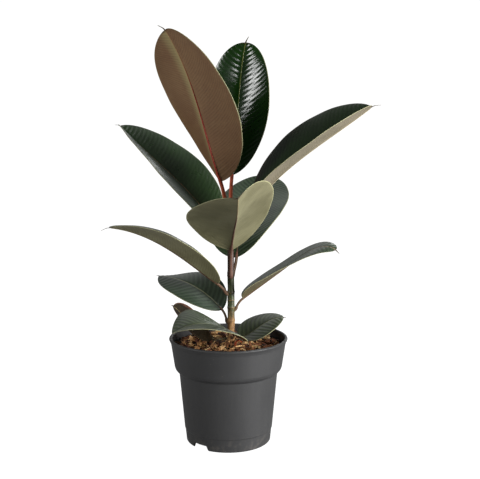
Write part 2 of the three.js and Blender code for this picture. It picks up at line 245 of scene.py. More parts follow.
def sweep(rings: np.ndarray, values: Mapping[str, np.ndarray] | None = None) -> Shell:
    """Closes a skin over rings of points.

    Point (i, j) joins (i, j+1), (i+1, j+1) and (i+1, j) in a quad, and j wraps round the ring. A pole at
    the mean of the first ring and one at the mean of the last close the ends.

    Args:
        rings: Points with the shape (rings, points round a ring, 3).
        values: Named values with the shape (rings, points round a ring).

    Returns:
        The closed shell, facing outwards.
    """
    count, round_count = rings.shape[:2]
    ring, place = np.meshgrid(np.arange(count - 1), np.arange(round_count), indexing="ij")
    following = (place + 1) % round_count
    here, above = ring * round_count, (ring + 1) * round_count
    quads = np.stack([here + place, here + following, above + following, above + place], -1)
    first, last = count * round_count, count * round_count + 1
    edge = np.arange(round_count)
    after = (edge + 1) % round_count
    top = (count - 1) * round_count
    triangles = np.concatenate(
        [
            np.stack([after, edge, np.full(round_count, first)], -1),
            np.stack([top + edge, top + after, np.full(round_count, last)], -1),
        ]
    )
    points = np.concatenate([rings.reshape(-1, 3), [rings[0].mean(0), rings[-1].mean(0)]])
    kept = {
        name: np.concatenate([grid.ravel(), [grid[0].mean(), grid[-1].mean()]])
        for name, grid in (values or {}).items()
    }
    return Shell(points, quads.reshape(-1, 4), triangles, kept).faced_out()


def turned(profile: np.ndarray, sides: int) -> np.ndarray:
    """Rings of a profile turned about +Z: (r, z) becomes (r cos a, r sin a, z).

    Args:
        profile: Pairs of radius and height.
        sides: Points round each ring.

    Returns:
        Points with the shape (profile, sides, 3).
    """
    angle = np.linspace(0, 2 * np.pi, sides, endpoint=False)
    radius, height = profile[:, :1], profile[:, 1:]
    level = np.broadcast_to(height, (len(profile), sides))
    return np.stack([radius * np.cos(angle), radius * np.sin(angle), level], -1)


def axes(bearing: np.ndarray, rise: np.ndarray, roll: np.ndarray) -> Axes:
    """Unit axes at places along a leaf.

    Forward is (cos rise cos bearing, cos rise sin bearing, sin rise). The normal is the upright across
    forward, turned about forward by the roll, and the side is forward x normal.

    Args:
        bearing: Heading counterclockwise from +X, seen from above.
        rise: Angle above the horizontal.
        roll: Turn about forward, positive with the right-hand side down.

    Returns:
        The forward, normal and side axes, each with the shape (places, 3).
    """
    b, r, q = np.radians(np.broadcast_arrays(bearing, rise, roll))
    level = np.stack([np.sin(b), -np.cos(b), 0 * b], -1)
    forward = np.stack([np.cos(r) * np.cos(b), np.cos(r) * np.sin(b), np.sin(r)], -1)
    upright = np.cross(level, forward)
    normal = upright * np.cos(q)[..., None] + level * np.sin(q)[..., None]
    return forward, normal, np.cross(forward, normal)


# ------------------------------------------------------------------------------------ shading


class Wire:
    """A value in a node tree. Arithmetic on it adds the Math nodes that work it out."""

    def __init__(self, board: "Board", socket: bpy.types.NodeSocket) -> None:
        """Wraps a node's output socket."""
        self.board = board
        self.socket = socket

    def __add__(self, other: Value) -> "Wire":
        """This value plus the other."""
        return self.board.maths("ADD", self, other)

    __radd__ = __add__

    def __sub__(self, other: Value) -> "Wire":
        """This value less the other."""
        return self.board.maths("SUBTRACT", self, other)

    def __rsub__(self, other: Value) -> "Wire":
        """The other value less this one."""
        return self.board.maths("SUBTRACT", other, self)

    def __mul__(self, other: Value) -> "Wire":
        """This value times the other."""
        return self.board.maths("MULTIPLY", self, other)

    __rmul__ = __mul__

    def __abs__(self) -> "Wire":
        """The size of this value."""
        return self.board.maths("ABSOLUTE", self)

    def sine(self) -> "Wire":
        """The sine of this value."""
        return self.board.maths("SINE", self)

    def ramp(self, low: float, high: float) -> "Wire":
        """Rises smoothly from 0 where this value is low to 1 where it is high.

        Args:
            low: Where the rise starts.
            high: Where it ends.

        Returns:
            The new value.
        """
        made = self.board.node(
            "ShaderNodeMapRange",
            {"interpolation_type": "SMOOTHSTEP"},
            {"Value": self, "From Min": low, "From Max": high},
        )
        return Wire(self.board, made.outputs["Result"])


class Board:
    """A node tree under construction."""

    def __init__(self, tree: bpy.types.NodeTree) -> None:
        """Takes the tree that the nodes go into."""
        self.tree = tree

    def plug(self, socket: bpy.types.NodeSocket, value: Value) -> None:
        """Links a wire to an input socket, or sets the socket to a number or colour.

        Args:
            socket: The input socket.
            value: The wire, number or colour.
        """
        if isinstance(value, Wire):
            self.tree.links.new(value.socket, socket)
        elif socket.type == "RGBA" and not isinstance(value, (int, float)):
            socket.default_value = (*value, 1.0)
        else:
            socket.default_value = value

    def node(
        self,
        kind: str,
        settings: Mapping[str, object] | None = None,
        inputs: Mapping[Union[str, int], Value] | None = None,
    ) -> bpy.types.Node:
        """Adds a node.

        Args:
            kind: The node's type.
            settings: Properties that are set first, or "stops" for a ramp's (position, colour) pairs.
            inputs: Values or wires by the name or number of the input.

        Returns:
            The new node.
        """
        made = self.tree.nodes.new(kind)
        for name, value in (settings or {}).items():
            if name == "stops":
                elements = made.color_ramp.elements
                while len(elements) < len(value):
                    elements.new(1.0)
                for element, (position, colour) in zip(elements, value):
                    element.position = position
                    element.color = (*colour, 1.0)
            else:
                setattr(made, name, value)
        for name, value in (inputs or {}).items():
            self.plug(made.inputs[name], value)
        return made

    def maths(self, operation: str, *terms: Value) -> Wire:
        """A Math node over one or two values."""
        made = self.node("ShaderNodeMath", {"operation": operation}, dict(enumerate(terms)))
        return Wire(self, made.outputs[0])

    def seen(self) -> Wire:
        """1 where the camera looks straight at it, and 0 where light from it falls on something."""
        return Wire(self, self.node("ShaderNodeLightPath").outputs["Is Camera Ray"])

    def kept(self, name: str) -> Wire:
        """A value that the mesh keeps at each point."""
        return Wire(self, self.node("ShaderNodeAttribute", {"attribute_name": name}).outputs["Fac"])

    def place(self) -> Wire:
        """The point's own coordinates on the object."""
        return Wire(self, self.node("ShaderNodeTexCoord").outputs["Object"])

    def parts(self, vector: Wire) -> tuple[Wire, Wire, Wire]:
        """The three parts of a vector."""
        made = self.node("ShaderNodeSeparateXYZ", None, {"Vector": vector})
        return tuple(Wire(self, out) for out in made.outputs)

    def vector(self, x: Value, y: Value, z: Value = 0.0) -> Wire:
        """A vector from three values."""
        made = self.node("ShaderNodeCombineXYZ", None, {"X": x, "Y": y, "Z": z})
        return Wire(self, made.outputs[0])

    def noise(self, at: Wire, size_mm: float, detail: float = 2.0, seed: float = 0.0) -> Wire:
        """Smooth noise from 0 to 1.

        Args:
            at: Where it is read, in metres.
            size_mm: The size of its lumps.
            detail: How many finer layers it has.
            seed: Makes it another noise of the same kind.

        Returns:
            The noise.
        """
        made = self.node(
            "ShaderNodeTexNoise",
            {"noise_dimensions": "4D"},
            {"Vector": at, "W": seed, "Scale": 1000.0 / size_mm, "Detail": detail},
        )
        return Wire(self, made.outputs["Fac"])

    def cells(self, at: Wire, size_mm: float) -> Wire:
        """The distance from the middle of the nearest of many scattered cells.

        Args:
            at: Where it is read, in metres.
            size_mm: The size of the cells.

        Returns:
            The distance in shares of that size.
        """
        made = self.node("ShaderNodeTexVoronoi", None, {"Vector": at, "Scale": 1000.0 / size_mm})
        return Wire(self, made.outputs["Distance"])

    def mix(self, share: Value, first: Value, second: Value) -> Wire:
        """The colour a share of the way from the first to the second.

        Args:
            share: 0 for the first colour and 1 for the second.
            first: The first colour.
            second: The second colour.

        Returns:
            The mixed colour.
        """
        made = self.node("ShaderNodeMix", {"data_type": "RGBA"}, {0: share, 6: first, 7: second})
        return Wire(self, made.outputs[2])

    def stops(self, share: Wire, stops: Sequence[tuple[float, Colour]]) -> Wire:
        """The colour at a share along a row of colours."""
        made = self.node("ShaderNodeValToRGB", {"stops": stops}, {"Fac": share})
        return Wire(self, made.outputs["Color"])

    def relief(self, height: Wire, depth_mm: float) -> Wire:
        """A normal tilted by a height that is given in shares of the depth."""
        made = self.node("ShaderNodeBump", None, {"Height": height, "Distance": depth_mm * MM})
        return Wire(self, made.outputs["Normal"])


class Paint(Board):
    """A material under construction, with a Principled shader at its end."""

    def __init__(self, name: str) -> None:
        """Starts a material of that name."""
        self.material = bpy.data.materials.new(name)
        self.material.use_nodes = True
        super().__init__(self.material.node_tree)

    def finish(self, **sockets: Value) -> bpy.types.Material:
        """Sets the shader's sockets.

        Args:
            **sockets: Values by the name of the socket, with _ for a space.

        Returns:
            The material.
        """
        shader = self.tree.nodes["Principled BSDF"]
        for name, value in sockets.items():
            self.plug(shader.inputs[name.replace("_", " ")], value)
        return self.material


# ------------------------------------------------------------------------------------ leaves


@dataclass(frozen=True)
class Lamina:
    """Sizes in millimetres and degrees that every leaf shares.

    Attributes:
        thickness: Of the blade near its base.
        thinned: The share of the thickness that is left at the tip.
        curl: How far each half curls down from the midrib to the margin.
        drip_radius: Of the drip tip where it leaves the blade.
        slant: How far a lateral vein runs towards the tip, for each millimetre across.
        bend: How much more it does so beside the margin.
        pucker: Height of the swellings between the lateral veins.
        pucker_length: From one swelling to the next.
        vein_length: From one vein to the next on the underside.
        line_length: From one fine line between the veins to the next.
        groove: Depth of the groove over the midrib.
        wave: Height of the margin's slow wave.
        wave_lengths: Of the slow wave and of the quicker one on it.
    """

    thickness: float = 1.1
    thinned: float = 0.65
    curl: float = 12.0
    drip_radius: float = 1.3
    slant: float = 0.42
    bend: float = 0.22
    pucker: float = 0.14
    pucker_length: float = 7.5
    vein_length: float = 4.1
    line_length: float = 2.3
    groove: float = 0.28
    wave: float = 0.35
    wave_lengths: tuple[float, float] = (83.0, 41.0)

    @property
    def spread(self) -> np.ndarray:
        """Places across a blade, close together at the midrib and the margins.

        Returns:
            The places, from -1 at one margin to 1 at the other.
        """
        half = np.array(
            [0.012, 0.028, 0.05, 0.08, 0.12, 0.17, 0.23, 0.3, 0.38, 0.46, 0.54, 0.62, 0.69]
            + [0.76, 0.82, 0.87, 0.91, 0.94, 0.965, 0.982, 0.994, 1.0]
        )
        return np.concatenate([-half[::-1], [0.0], half])


LAMINA = Lamina()
DRIED_RIM = tone(126, 84, 66)


@dataclass(frozen=True)
class LeafFinish:
    """Colours and gloss of one leaf, which change with its age.

    Attributes:
        upper: The upper face.
        upper_fresh: Its paler patches and veins.
        under: The underside.
        under_blush: The patches on the underside.
        rib_under: The midrib's lower part on the underside.
        halo: A pale stripe beside the midrib on the underside.
        halo_side: Which side it is on, 1 or -1, or 0 for none.
        rib_upper: The line over the midrib on the upper face.
        rib_fade: The midrib towards the tip.
        petiole: The petiole.
        margin: The rim of the blade.
        tip: The end of the blade and the drip tip.
        gloss: Roughness of the upper face.
        under_gloss: Roughness of the underside.
        quilting: How strongly the veins stand out in the relief.
        vein_light: How pale the veins are on the upper face.
        dryness: How far the rim has dried and browned.
    """

    upper: Colour = tone(30, 46, 24)
    upper_fresh: Colour = tone(38, 58, 28)
    under: Colour = tone(132, 128, 98)
    under_blush: Colour = tone(112, 104, 76)
    rib_under: Colour = tone(120, 52, 38)
    halo: Colour = tone(150, 142, 104)
    halo_side: float = 0.0
    rib_upper: Colour = tone(128, 104, 76)
    rib_fade: Colour = tone(150, 132, 96)
    petiole: Colour = tone(112, 60, 44)
    margin: Colour = tone(162, 160, 122)
    tip: Colour = tone(62, 48, 30)
    gloss: float = 0.3
    under_gloss: float = 0.55
    quilting: float = 1.0
    vein_light: float = 0.35
    dryness: float = 0.0

    def material(self, name: str, seed: float) -> bpy.types.Material:
        """The material of one leaf.

        The lateral veins are sine bands of along - |across| (slant + bend share^2), so that they run
        towards the tip and more so beside the margin. They tint both faces and raise the relief.

        Args:
            name: The material's name.
            seed: Moves the noise, so that no two leaves are alike.

        Returns:
            The material.
        """
        paint = Paint(name)
        across, along = paint.kept("across"), paint.kept("along")
        share, under = paint.kept("share"), paint.kept("under")
        rib, way = paint.kept("rib"), paint.kept("way")
        place = paint.vector(across, along, under * 0.4)

        off = abs(across)
        bend = off * share * share * LAMINA.bend
        slant = along - off * LAMINA.slant - bend
        broad = paint.noise(place, 38, 2.0, seed)
        patch = paint.noise(place, 13, 3.0, seed + 3)
        grain = paint.noise(place, 0.9, 2.0, seed + 5)
        streak = paint.noise(paint.vector(slant * 5.0, off * 0.6), 6.0, 2.0, seed + 7)
        drift = slant + (patch - 0.5) * 0.0024
        bands, veins, lines = (
            (drift * (2 * np.pi / (length * MM))).sine() * 0.5 + 0.5
            for length in (LAMINA.pucker_length, LAMINA.vein_length, LAMINA.line_length)
        )
        clear = share.ramp(0.03, 0.14) * (1.0 - share.ramp(0.9, 0.98))

        crest = bands * bands * bands * clear
        fresh = broad.ramp(0.35, 0.7) * 0.5 + crest * self.vein_light
        upper = paint.mix(fresh, self.upper, self.upper_fresh)
        groove = 1.0 - off.ramp(0.0004, 0.0013)
        upper = paint.mix(groove * 0.85, upper, self.rib_upper)

        blush = broad * 1.2 + (streak - 0.5) * 0.5
        below = paint.mix(blush.ramp(0.3, 0.9), self.under, self.under_blush)
        if self.halo_side:
            beside = (across * (900.0 * self.halo_side)).ramp(0.0, 1.0) * (1.0 - off.ramp(0.002, 0.02))
            below = paint.mix(beside * 0.8, below, self.halo)
        shade = paint.mix(0.62, (0.0, 0.0, 0.0), below)
        below = paint.mix((veins * veins * (streak * 0.9 + 0.1) + lines * 0.1) * clear, below, shade)
        below = paint.mix((grain - 0.4) * 0.3, below, self.margin)

        leaf = paint.mix(under.ramp(0.4, 0.6), upper, below)
        edge = share.ramp(0.972, 0.995)
        leaf = paint.mix(edge * (0.6 + under * 0.35), leaf, self.margin)
        leaf = paint.mix(way.ramp(0.984, 0.999) * 0.85, leaf, self.tip)
        if self.dryness:
            dry = (share + (patch - 0.5) * 0.5 + way * 0.25).ramp(0.95, 1.12) * self.dryness
            leaf = paint.mix(dry, leaf, DRIED_RIM)
        stalk = paint.mix(way.ramp(-0.15, 0.2), self.petiole, self.rib_under)
        stalk = paint.mix(way.ramp(0.55, 0.95), stalk, self.rib_fade)
        stalk = paint.mix((grain - 0.3) * 0.35, stalk, self.margin)
        colour = paint.mix(rib, leaf, stalk)

        smear = paint.noise(place, 21, 3.0, seed + 11)
        dull = (1.0 - under) * self.gloss + under * self.under_gloss
        rough = dull + (smear - 0.5) * 0.16 + rib * 0.1 + edge * 0.15
        height = (bands * 0.34 + lines * 0.04 + streak * 0.4) * clear * self.quilting
        height = height * (1.0 - under * 0.35) + grain * 0.05 + broad * 1.4
        normal = paint.relief(height * (1.0 - rib), 0.16)
        return paint.finish(Base_Color=colour, Roughness=rough, Normal=normal, IOR=1.45)


@dataclass(frozen=True)
class Nick:
    """A small tear in a margin: which side, where along the blade, and how deep in millimetres."""

    side: int
    way: float
    depth: float
    length: float = 0.012

    def bite(self, way: np.ndarray, across: np.ndarray) -> np.ndarray:
        """How much it takes off the width: depth exp(-((way - its own) / length)^2), near the margin.

        Args:
            way: Shares along the blade.
            across: Places across the blade, from -1 to 1.

        Returns:
            The loss in millimetres, with the shape (along, across).
        """
        bite = np.exp(-(((way - self.way) / self.length) ** 2))[:, None]
        near = smooth(0.55, 1.0, across * self.side)[None, :]
        return self.depth * bite * near


@dataclass
class Leaf:
    """One leaf, in millimetres and degrees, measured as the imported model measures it.

    Attributes:
        node: Height of its joint on the stem, above the mix at the pot's wall.
        petiole: Radius, length, and the bearing and rise with which it leaves the stem.
        blade: Length and greatest width.
        bearing: Of the midrib at its base and tip.
        rise: Of the midrib at its base, middle and tip.
        roll: Of the blade about the midrib at its base and tip.
        fold: Lift of each half at its base and tip.
        drip: Length and rise of the narrow drip tip.
        widest: Power that moves the widest place along the blade.
        fullness: Power that squares the outline off.
        droop: How far the last part bends down beyond the rise.
        nick: A tear in the margin, if it has one.
        finish: Its colours and gloss.
    """

    node: float
    petiole: tuple[float, float, float, float]
    blade: tuple[float, float]
    bearing: tuple[float, float]
    rise: tuple[float, float, float]
    roll: tuple[float, float]
    fold: tuple[float, float]
    drip: tuple[float, float]
    widest: float = 1.1
    fullness: float = 0.5
    droop: float = 0.0
    nick: Nick | None = None
    finish: LeafFinish = LeafFinish()

    def stalk_axes(self, u: np.ndarray) -> Axes:
        """Axes along the petiole, which turns evenly from the stem's side to the blade's base.

        Args:
            u: Shares along the petiole.

        Returns:
            The forward, normal and side axes.
        """
        _, _, leaving, lift = self.petiole
        return axes(
            between(leaving, self.bearing[0], u),
            between(lift, self.rise[0], u),
            between(0, self.roll[0], u),
        )

    def blade_axes(self, t: np.ndarray) -> Axes:
        """Axes along the midrib: the rise follows a parabola less the droop times t^6."""
        rise = parabola(self.rise, t) - self.droop * t**6
        return axes(between(*self.bearing, t), rise, between(*self.roll, t))

    def drip_axes(self, u: np.ndarray) -> Axes:
        """Axes along the drip tip, which bends from the blade's end rise to its own."""
        end = self.rise[2] - self.droop
        return axes(self.bearing[1] + 0 * u, between(end, self.drip[1], np.sqrt(u)), self.roll[1] + 0 * u)

    def root_axes(self, u: np.ndarray) -> Axes:
        """Axes along the petiole's foot, which swings up from near level inside the stem."""
        _, _, leaving, lift = self.petiole
        return axes(leaving + 0 * u, between(min(lift, 12.0), lift, smooth(0, 1, u)), 0 * u)

    @staticmethod
    def walk(
        start: np.ndarray, length: float, turn: Callable[[np.ndarray], Axes], shares: np.ndarray
    ) -> np.ndarray:
        """Places along a path: start plus the running sum of forward at each step's middle.

        Args:
            start: Where the path starts.
            length: The path's whole length.
            turn: Gives the axes at shares along the path.
            shares: Where the places are wanted, from 0 to 1.

        Returns:
            The places.
        """
        middles = (shares[1:] + shares[:-1]) / 2
        steps = turn(middles)[0] * (length * np.diff(shares))[:, None]
        return start + np.concatenate([np.zeros((1, 3)), np.cumsum(steps, axis=0)])

    def half_width(self, t: np.ndarray) -> np.ndarray:
        """Half the blade's width: W/2 (4 s (1 - s))^fullness, where s is t^widest."""
        share = np.clip(t, 0, 1) ** self.widest
        return self.blade[1] / 2 * (4 * share * (1 - share)) ** self.fullness

    def lines(self, stem: "Stem") -> dict[str, tuple[np.ndarray, ...]]:
        """Works out the paths of the foot, petiole, blade and drip tip.

        Args:
            stem: The stem that the leaf grows on.

        Returns:
            For each part its shares, places and three axes, in millimetres.
        """
        radius, length, leaving, lift = self.petiole
        joint = stem.foot + self.node
        off = stem.radius(np.array([joint]))[0] + 0.9 + radius * np.sin(np.radians(abs(lift)))
        out = np.array([np.cos(np.radians(leaving)), np.sin(np.radians(leaving)), 0])
        start = np.array([stem.offset, 0, joint]) + out * off

        u = np.linspace(0, 1, 10)
        foot_length = 7.5
        foot = self.walk(np.zeros(3), foot_length, self.root_axes, u)
        foot += start - foot[-1]
        v = np.linspace(0, 1, 22)
        stalk = self.walk(start, length, self.stalk_axes, v)
        t = (1 - np.cos(np.pi * np.linspace(0, 1, 151))) / 2
        blade = self.walk(stalk[-1], self.blade[0], self.blade_axes, t)
        w = np.linspace(0, 1, 16)
        drip = self.walk(blade[-1], self.drip[0], self.drip_axes, w)
        return {
            "foot": (u, foot, *self.root_axes(u)),
            "stalk": (v, stalk, *self.stalk_axes(v)),
            "blade": (t, blade, *self.blade_axes(t)),
            "drip": (w, drip, *self.drip_axes(w)),
        }

    def blade_shell(self, lines: dict[str, tuple[np.ndarray, ...]], seed: int) -> Shell:
        """The blade and its drip tip as one thin closed skin.

        Across the blade at s the surface slopes by fold - curl |s|, so x is the integral of the slope's
        cosine and z the integral of its sine. The two faces stand off by the half thickness, which
        rounds to nothing at the margin along a quarter circle. Puckers between the lateral veins and a
        slow wave of the margin move both faces alike, and a groove runs over the midrib.

        Args:
            lines: The leaf's paths.
            seed: Phase of the margin's wave.

        Returns:
            The shell in metres, with the values that the finish reads.
        """
        t, places, forward, normal, side = (
            np.concatenate([a, b[1:]]) for a, b in zip(lines["blade"], lines["drip"])
        )
        bladed = len(lines["blade"][0])
        way = t.copy()
        way[bladed:] = 1.0
        past = np.where(np.arange(len(t)) >= bladed, t, 0.0)
        fold = np.radians(between(*self.fold, way) * (1 - past))
        curl = np.radians(LAMINA.curl)
        edge = between(0.55 * self.petiole[0], LAMINA.drip_radius, way) * (1 - 0.72 * past)
        half = np.hypot(np.where(past > 0, 0, self.half_width(way)), edge)
        along = way * self.blade[0] + past * self.drip[0]

        s = LAMINA.spread
        width = np.broadcast_to(half[:, None], (len(t), len(s)))
        if self.nick:
            width = width - self.nick.bite(way, s)
        slope = fold[:, None] - curl * np.abs(s)
        hand = np.sign(s)
        x = hand * width * (np.sin(fold)[:, None] - np.sin(slope)) / curl
        z = width * (np.cos(slope) - np.cos(fold)[:, None]) / curl

        round_share = np.clip(0.55 * LAMINA.thickness / width, 0.012, 0.6)
        inset = np.clip((np.abs(s) - 1 + round_share) / round_share, 0, 1)
        taper = between(1.0, LAMINA.thinned, way) * (1 - 0.5 * past)
        thick = LAMINA.thickness / 2 * taper[:, None] * np.sqrt(1 - inset**2)

        off = np.abs(s) * width
        slant = along[:, None] - LAMINA.slant * off - LAMINA.bend * off * s**2
        calm = smooth(0.04, 0.2, np.abs(s)) * (1 - smooth(0.82, 0.97, np.abs(s)))
        lift = LAMINA.pucker * np.sin(2 * np.pi * slant / LAMINA.pucker_length) * calm
        phase = seed * 1.7 + hand * 0.9
        slow, quick = (2 * np.pi * along[:, None] / length for length in LAMINA.wave_lengths)
        swing = np.sin(slow + phase) + 0.35 * np.sin(quick + 2 * phase)
        size = LAMINA.wave * np.minimum(1, half / 30)[:, None]
        lift = lift + size * swing * np.abs(s) ** 3
        groove = -LAMINA.groove * np.exp(-((off / 0.9) ** 2)) * smooth(1.5, 6, half)[:, None]

        def skin(height: np.ndarray) -> np.ndarray:
            """The places at a height over the blade's middle surface.

            Args:
                height: The height along the surface's own normal.

            Returns:
                Points with the shape (along, across, 3).
            """
            across = x - hand * np.sin(slope) * height
            up = z + np.where(s == 0, 1, np.cos(slope)) * height
            return places[:, None] + across[..., None] * side[:, None] + up[..., None] * normal[:, None]

        top, bottom = skin(lift + thick + groove), skin(lift - thick)[:, -2:0:-1]
        inner = np.s_[:, -2:0:-1]
        rings = np.concatenate([top, bottom], axis=1)
        grid = np.broadcast_to(s, width.shape)
        values = {
            "across": np.concatenate([hand * off, (hand * off)[inner]], 1) * MM,
            "along": np.broadcast_to(along[:, None], rings.shape[:2]) * MM,
            "share": np.concatenate([np.abs(grid), np.abs(grid)[inner]], 1),
            "under": np.concatenate([np.zeros(grid.shape), np.ones(grid[inner].shape)], 1),
            "way": np.broadcast_to(way[:, None], rings.shape[:2]),
            "rib": np.zeros(rings.shape[:2]),
        }
        values["under"][:, 0] = values["under"][:, len(s) - 1] = 0.5
        return sweep(rings * MM, values)

    def rib_shell(self, lines: dict[str, tuple[np.ndarray, ...]]) -> Shell:
        """The petiole, running on as the midrib under the blade.

        Each ring is an ellipse. It is round on the petiole. Over the blade's first part its top sinks
        into the blade, and its depth and width taper to the tip.

        Args:
            lines: The leaf's paths.

        Returns:
            The shell in metres, with the values that the finish reads.
        """
        radius = self.petiole[0]
        keep = lines["blade"][0] < 0.985
        foot, stalk = lines["foot"], lines["stalk"]
        blade = tuple(part[keep] for part in lines["blade"])
        _, places, _, normal, side = (
            np.concatenate([a[:-1], b[:-1], c]) for a, b, c in zip(foot, stalk, blade)
        )
        before = len(foot[0]) - 1 + len(stalk[0]) - 1
        t = np.concatenate([np.zeros(before), blade[0]])
        ahead = np.concatenate([-1 - 0.15 * (1 - foot[0][:-1]), stalk[0][:-1] - 1, blade[0]])
        sink = smooth(0.0, 0.09, t)
        depth = LAMINA.thickness / 2 * between(1, LAMINA.thinned, t) + between(0.75 * radius, 0.3, t)
        tall = between(1, 0, sink) * radius + sink * depth / 2
        centre = -sink * depth / 2
        broad = between(1, 0, sink) * radius + sink * between(0.72 * radius, 0.35, t**0.6)
        flare = 1 + 0.45 * smooth(-0.75, -1.15, ahead)
        angle = np.linspace(0, 2 * np.pi, 20, endpoint=False)
        x = (broad * flare)[:, None] * np.cos(angle)
        z = centre[:, None] + (tall * flare)[:, None] * np.sin(angle)
        rings = places[:, None] + x[..., None] * side[:, None] + z[..., None] * normal[:, None]
        length = np.where(ahead < 0, ahead * self.petiole[1], ahead * self.blade[0])
        shape = rings.shape[:2]
        values = {
            "across": x * MM,
            "along": np.broadcast_to(length[:, None], shape) * MM,
            "share": np.zeros(shape),
            "under": np.ones(shape),
            "way": np.broadcast_to(ahead[:, None], shape),
            "rib": np.ones(shape),
        }
        return sweep(rings * MM, values)

    def make(self, name: str, stem: "Stem", seed: int) -> bpy.types.Object:
        """Builds the leaf and dresses it.

        Args:
            name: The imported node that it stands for.
            stem: The stem that it grows on.
            seed: Makes its small unevenness its own.

        Returns:
            The finished piece.
        """
        lines = self.lines(stem)
        shell = self.blade_shell(lines, seed).joined(self.rib_shell(lines))
        piece = shell.build(f"{name}_grown")
        piece.data.materials.append(self.finish.material(f"{name}_skin", seed * 2.3))
        return settle(piece, name)


# ------------------------------------------------------------------------------------ stem and bud


@dataclass(frozen=True)
class StemFinish:
    """Bark of the young stem: tan cork at its foot, green further up and reddish near its top."""

    cork: Colour = tone(158, 118, 70)
    cork_dark: Colour = tone(92, 58, 34)
    green: Colour = tone(50, 58, 20)
    green_dark: Colour = tone(26, 28, 11)
    red: Colour = tone(76, 40, 31)
    scar: Colour = tone(168, 130, 80)

    def material(self, stem: "Stem") -> bpy.types.Material:
        """The bark's material, whose colours follow the height on the stem.

        Args:
            stem: The stem, for the heights where its colours change.

        Returns:
            The material.
        """
        paint = Paint("stem_bark")
        place = paint.place()
        x, y, z = paint.parts(place)
        scar = paint.kept("scar")
        length_way = paint.vector(x * 3.0, y * 3.0, z * 0.5)
        fibre = paint.noise(length_way, 6.0, 4.0, 1.0)
        blotch = paint.noise(place, 7.0, 3.0, 2.0)
        dots = 1.0 - paint.cells(place, 2.2).ramp(0.12, 0.3)
        height = z * 1000.0 - stem.foot + (blotch - 0.5) * 16.0

        cork = paint.mix(fibre.ramp(0.35, 0.65), self.cork_dark, self.cork)
        green = paint.mix(blotch.ramp(0.3, 0.7), self.green_dark, self.green)
        skin = paint.mix(height.ramp(26, 58), cork, green)
        skin = paint.mix(height.ramp(96, 108), skin, paint.mix(blotch, self.red, self.green_dark))
        skin = paint.mix(dots * (1.0 - height.ramp(60, 110)) * 0.55, skin, self.scar)
        ring = scar * blotch.ramp(0.48, 0.64)
        skin = paint.mix(scar * 0.35, skin, self.cork_dark)
        skin = paint.mix(ring * (1.0 - height.ramp(80, 110) * 0.6) * 0.6, skin, self.scar)
        relief = paint.relief(fibre * 0.6 + blotch * 0.4 + dots * 0.2, 0.25)
        rough = 0.5 + (1.0 - height.ramp(20, 70)) * 0.25 + (fibre - 0.5) * 0.2
        return paint.finish(Base_Color=skin, Roughness=rough, Normal=relief)


@dataclass
class Stem:
    """The upright stem, in millimetres.

    Attributes:
        joints: Heights of the leaves' joints over the mix.
        foot: Height of the mix at the pot's wall.
        offset: How far the stem stands from the pot's axis, along +X.
        foot_radius: At the mix.
        top_radius: At its end.
        above_last: From the last joint to its end.
        rooted: Its length inside the mix.
        swell: How much wider it is at a joint.
        swell_reach: How far that reaches up and down.
        old_scars: Heights of the scars of fallen leaves over the mix.
        scar_height: How far the ring of a scar stands out.
        scar_reach: Half the height of that ring, about.
        lumps: Height of its low lumps.
        bow: How far its axis bows to each side.
        sides: Points round it.
        finish: Its bark.
    """

    joints: Sequence[float]
    foot: float = 139.0
    offset: float = 3.7
    foot_radius: float = 5.3
    top_radius: float = 4.2
    above_last: float = 3.0
    rooted: float = 42.0
    swell: float = 0.5
    swell_reach: float = 2.6
    old_scars: tuple[float, ...] = (26.0, 66.0)
    scar_height: float = 0.28
    scar_reach: float = 0.55
    lumps: float = 0.12
    bow: float = 0.25
    sides: int = 56
    finish: StemFinish = StemFinish()

    @property
    def apex(self) -> float:
        """The height of the stem's end."""
        return self.foot + max(self.joints) + self.above_last

    def radius(self, height: np.ndarray) -> np.ndarray:
        """The radius at a height: an even taper, with a bell-shaped swelling at each joint.

        Args:
            height: Heights over the floor.

        Returns:
            The radii.
        """
        share = np.clip((height - self.foot) / (self.apex - self.foot), 0, 1)
        joints = self.foot + np.array(self.joints)
        bells = np.exp(-(((height[:, None] - joints) / self.swell_reach) ** 2))
        return between(self.foot_radius, self.top_radius, share) + self.swell * bells.max(1)

    def make(self) -> bpy.types.Object:
        """Builds the stem as a tube round its axis.

        At height z and angle a the radius is the taper and swellings, plus a narrow raised ring at each
        leaf scar that tilts with the angle, plus low lumps: a ripple over (a, z). Over the mix its axis
        bows a little from side to side as a sine wave of the height.

        Returns:
            The finished piece.
        """
        height = np.linspace(self.foot - self.rooted, self.apex, 420)
        angle = np.linspace(0, 2 * np.pi, self.sides, endpoint=False)
        grid_z, grid_a = np.meshgrid(height, angle, indexing="ij")
        rings_at = self.foot + np.array([*self.joints, *self.old_scars])
        tilt = np.arange(len(rings_at)) * 2.4
        drop = grid_z[..., None] - rings_at - 0.5 * np.cos(grid_a[..., None] - tilt)
        scar = np.exp(-((drop / self.scar_reach) ** 2)).max(-1)
        around = np.stack([np.cos(grid_a) * 6 + grid_z * 0.25, np.sin(grid_a) * 6 + grid_z * 0.4], -1)
        uneven = self.lumps * ripple(around, 9, 7.0, 5)
        bow = self.bow * np.sin((grid_z - self.foot) / 31)
        radius = self.radius(height)[:, None] + self.scar_height * scar + uneven
        end = smooth(0, 3.0, self.apex - grid_z)
        radius = radius * (0.55 + 0.45 * end)
        rings = np.stack(
            [
                self.offset + bow * (height[:, None] > self.foot) + radius * np.cos(grid_a),
                radius * np.sin(grid_a),
                grid_z,
            ],
            -1,
        )
        piece = sweep(rings * MM, {"scar": scar}).build("stem_grown")
        piece.data.materials.append(self.finish.material(self))
        return settle(piece, "stem")


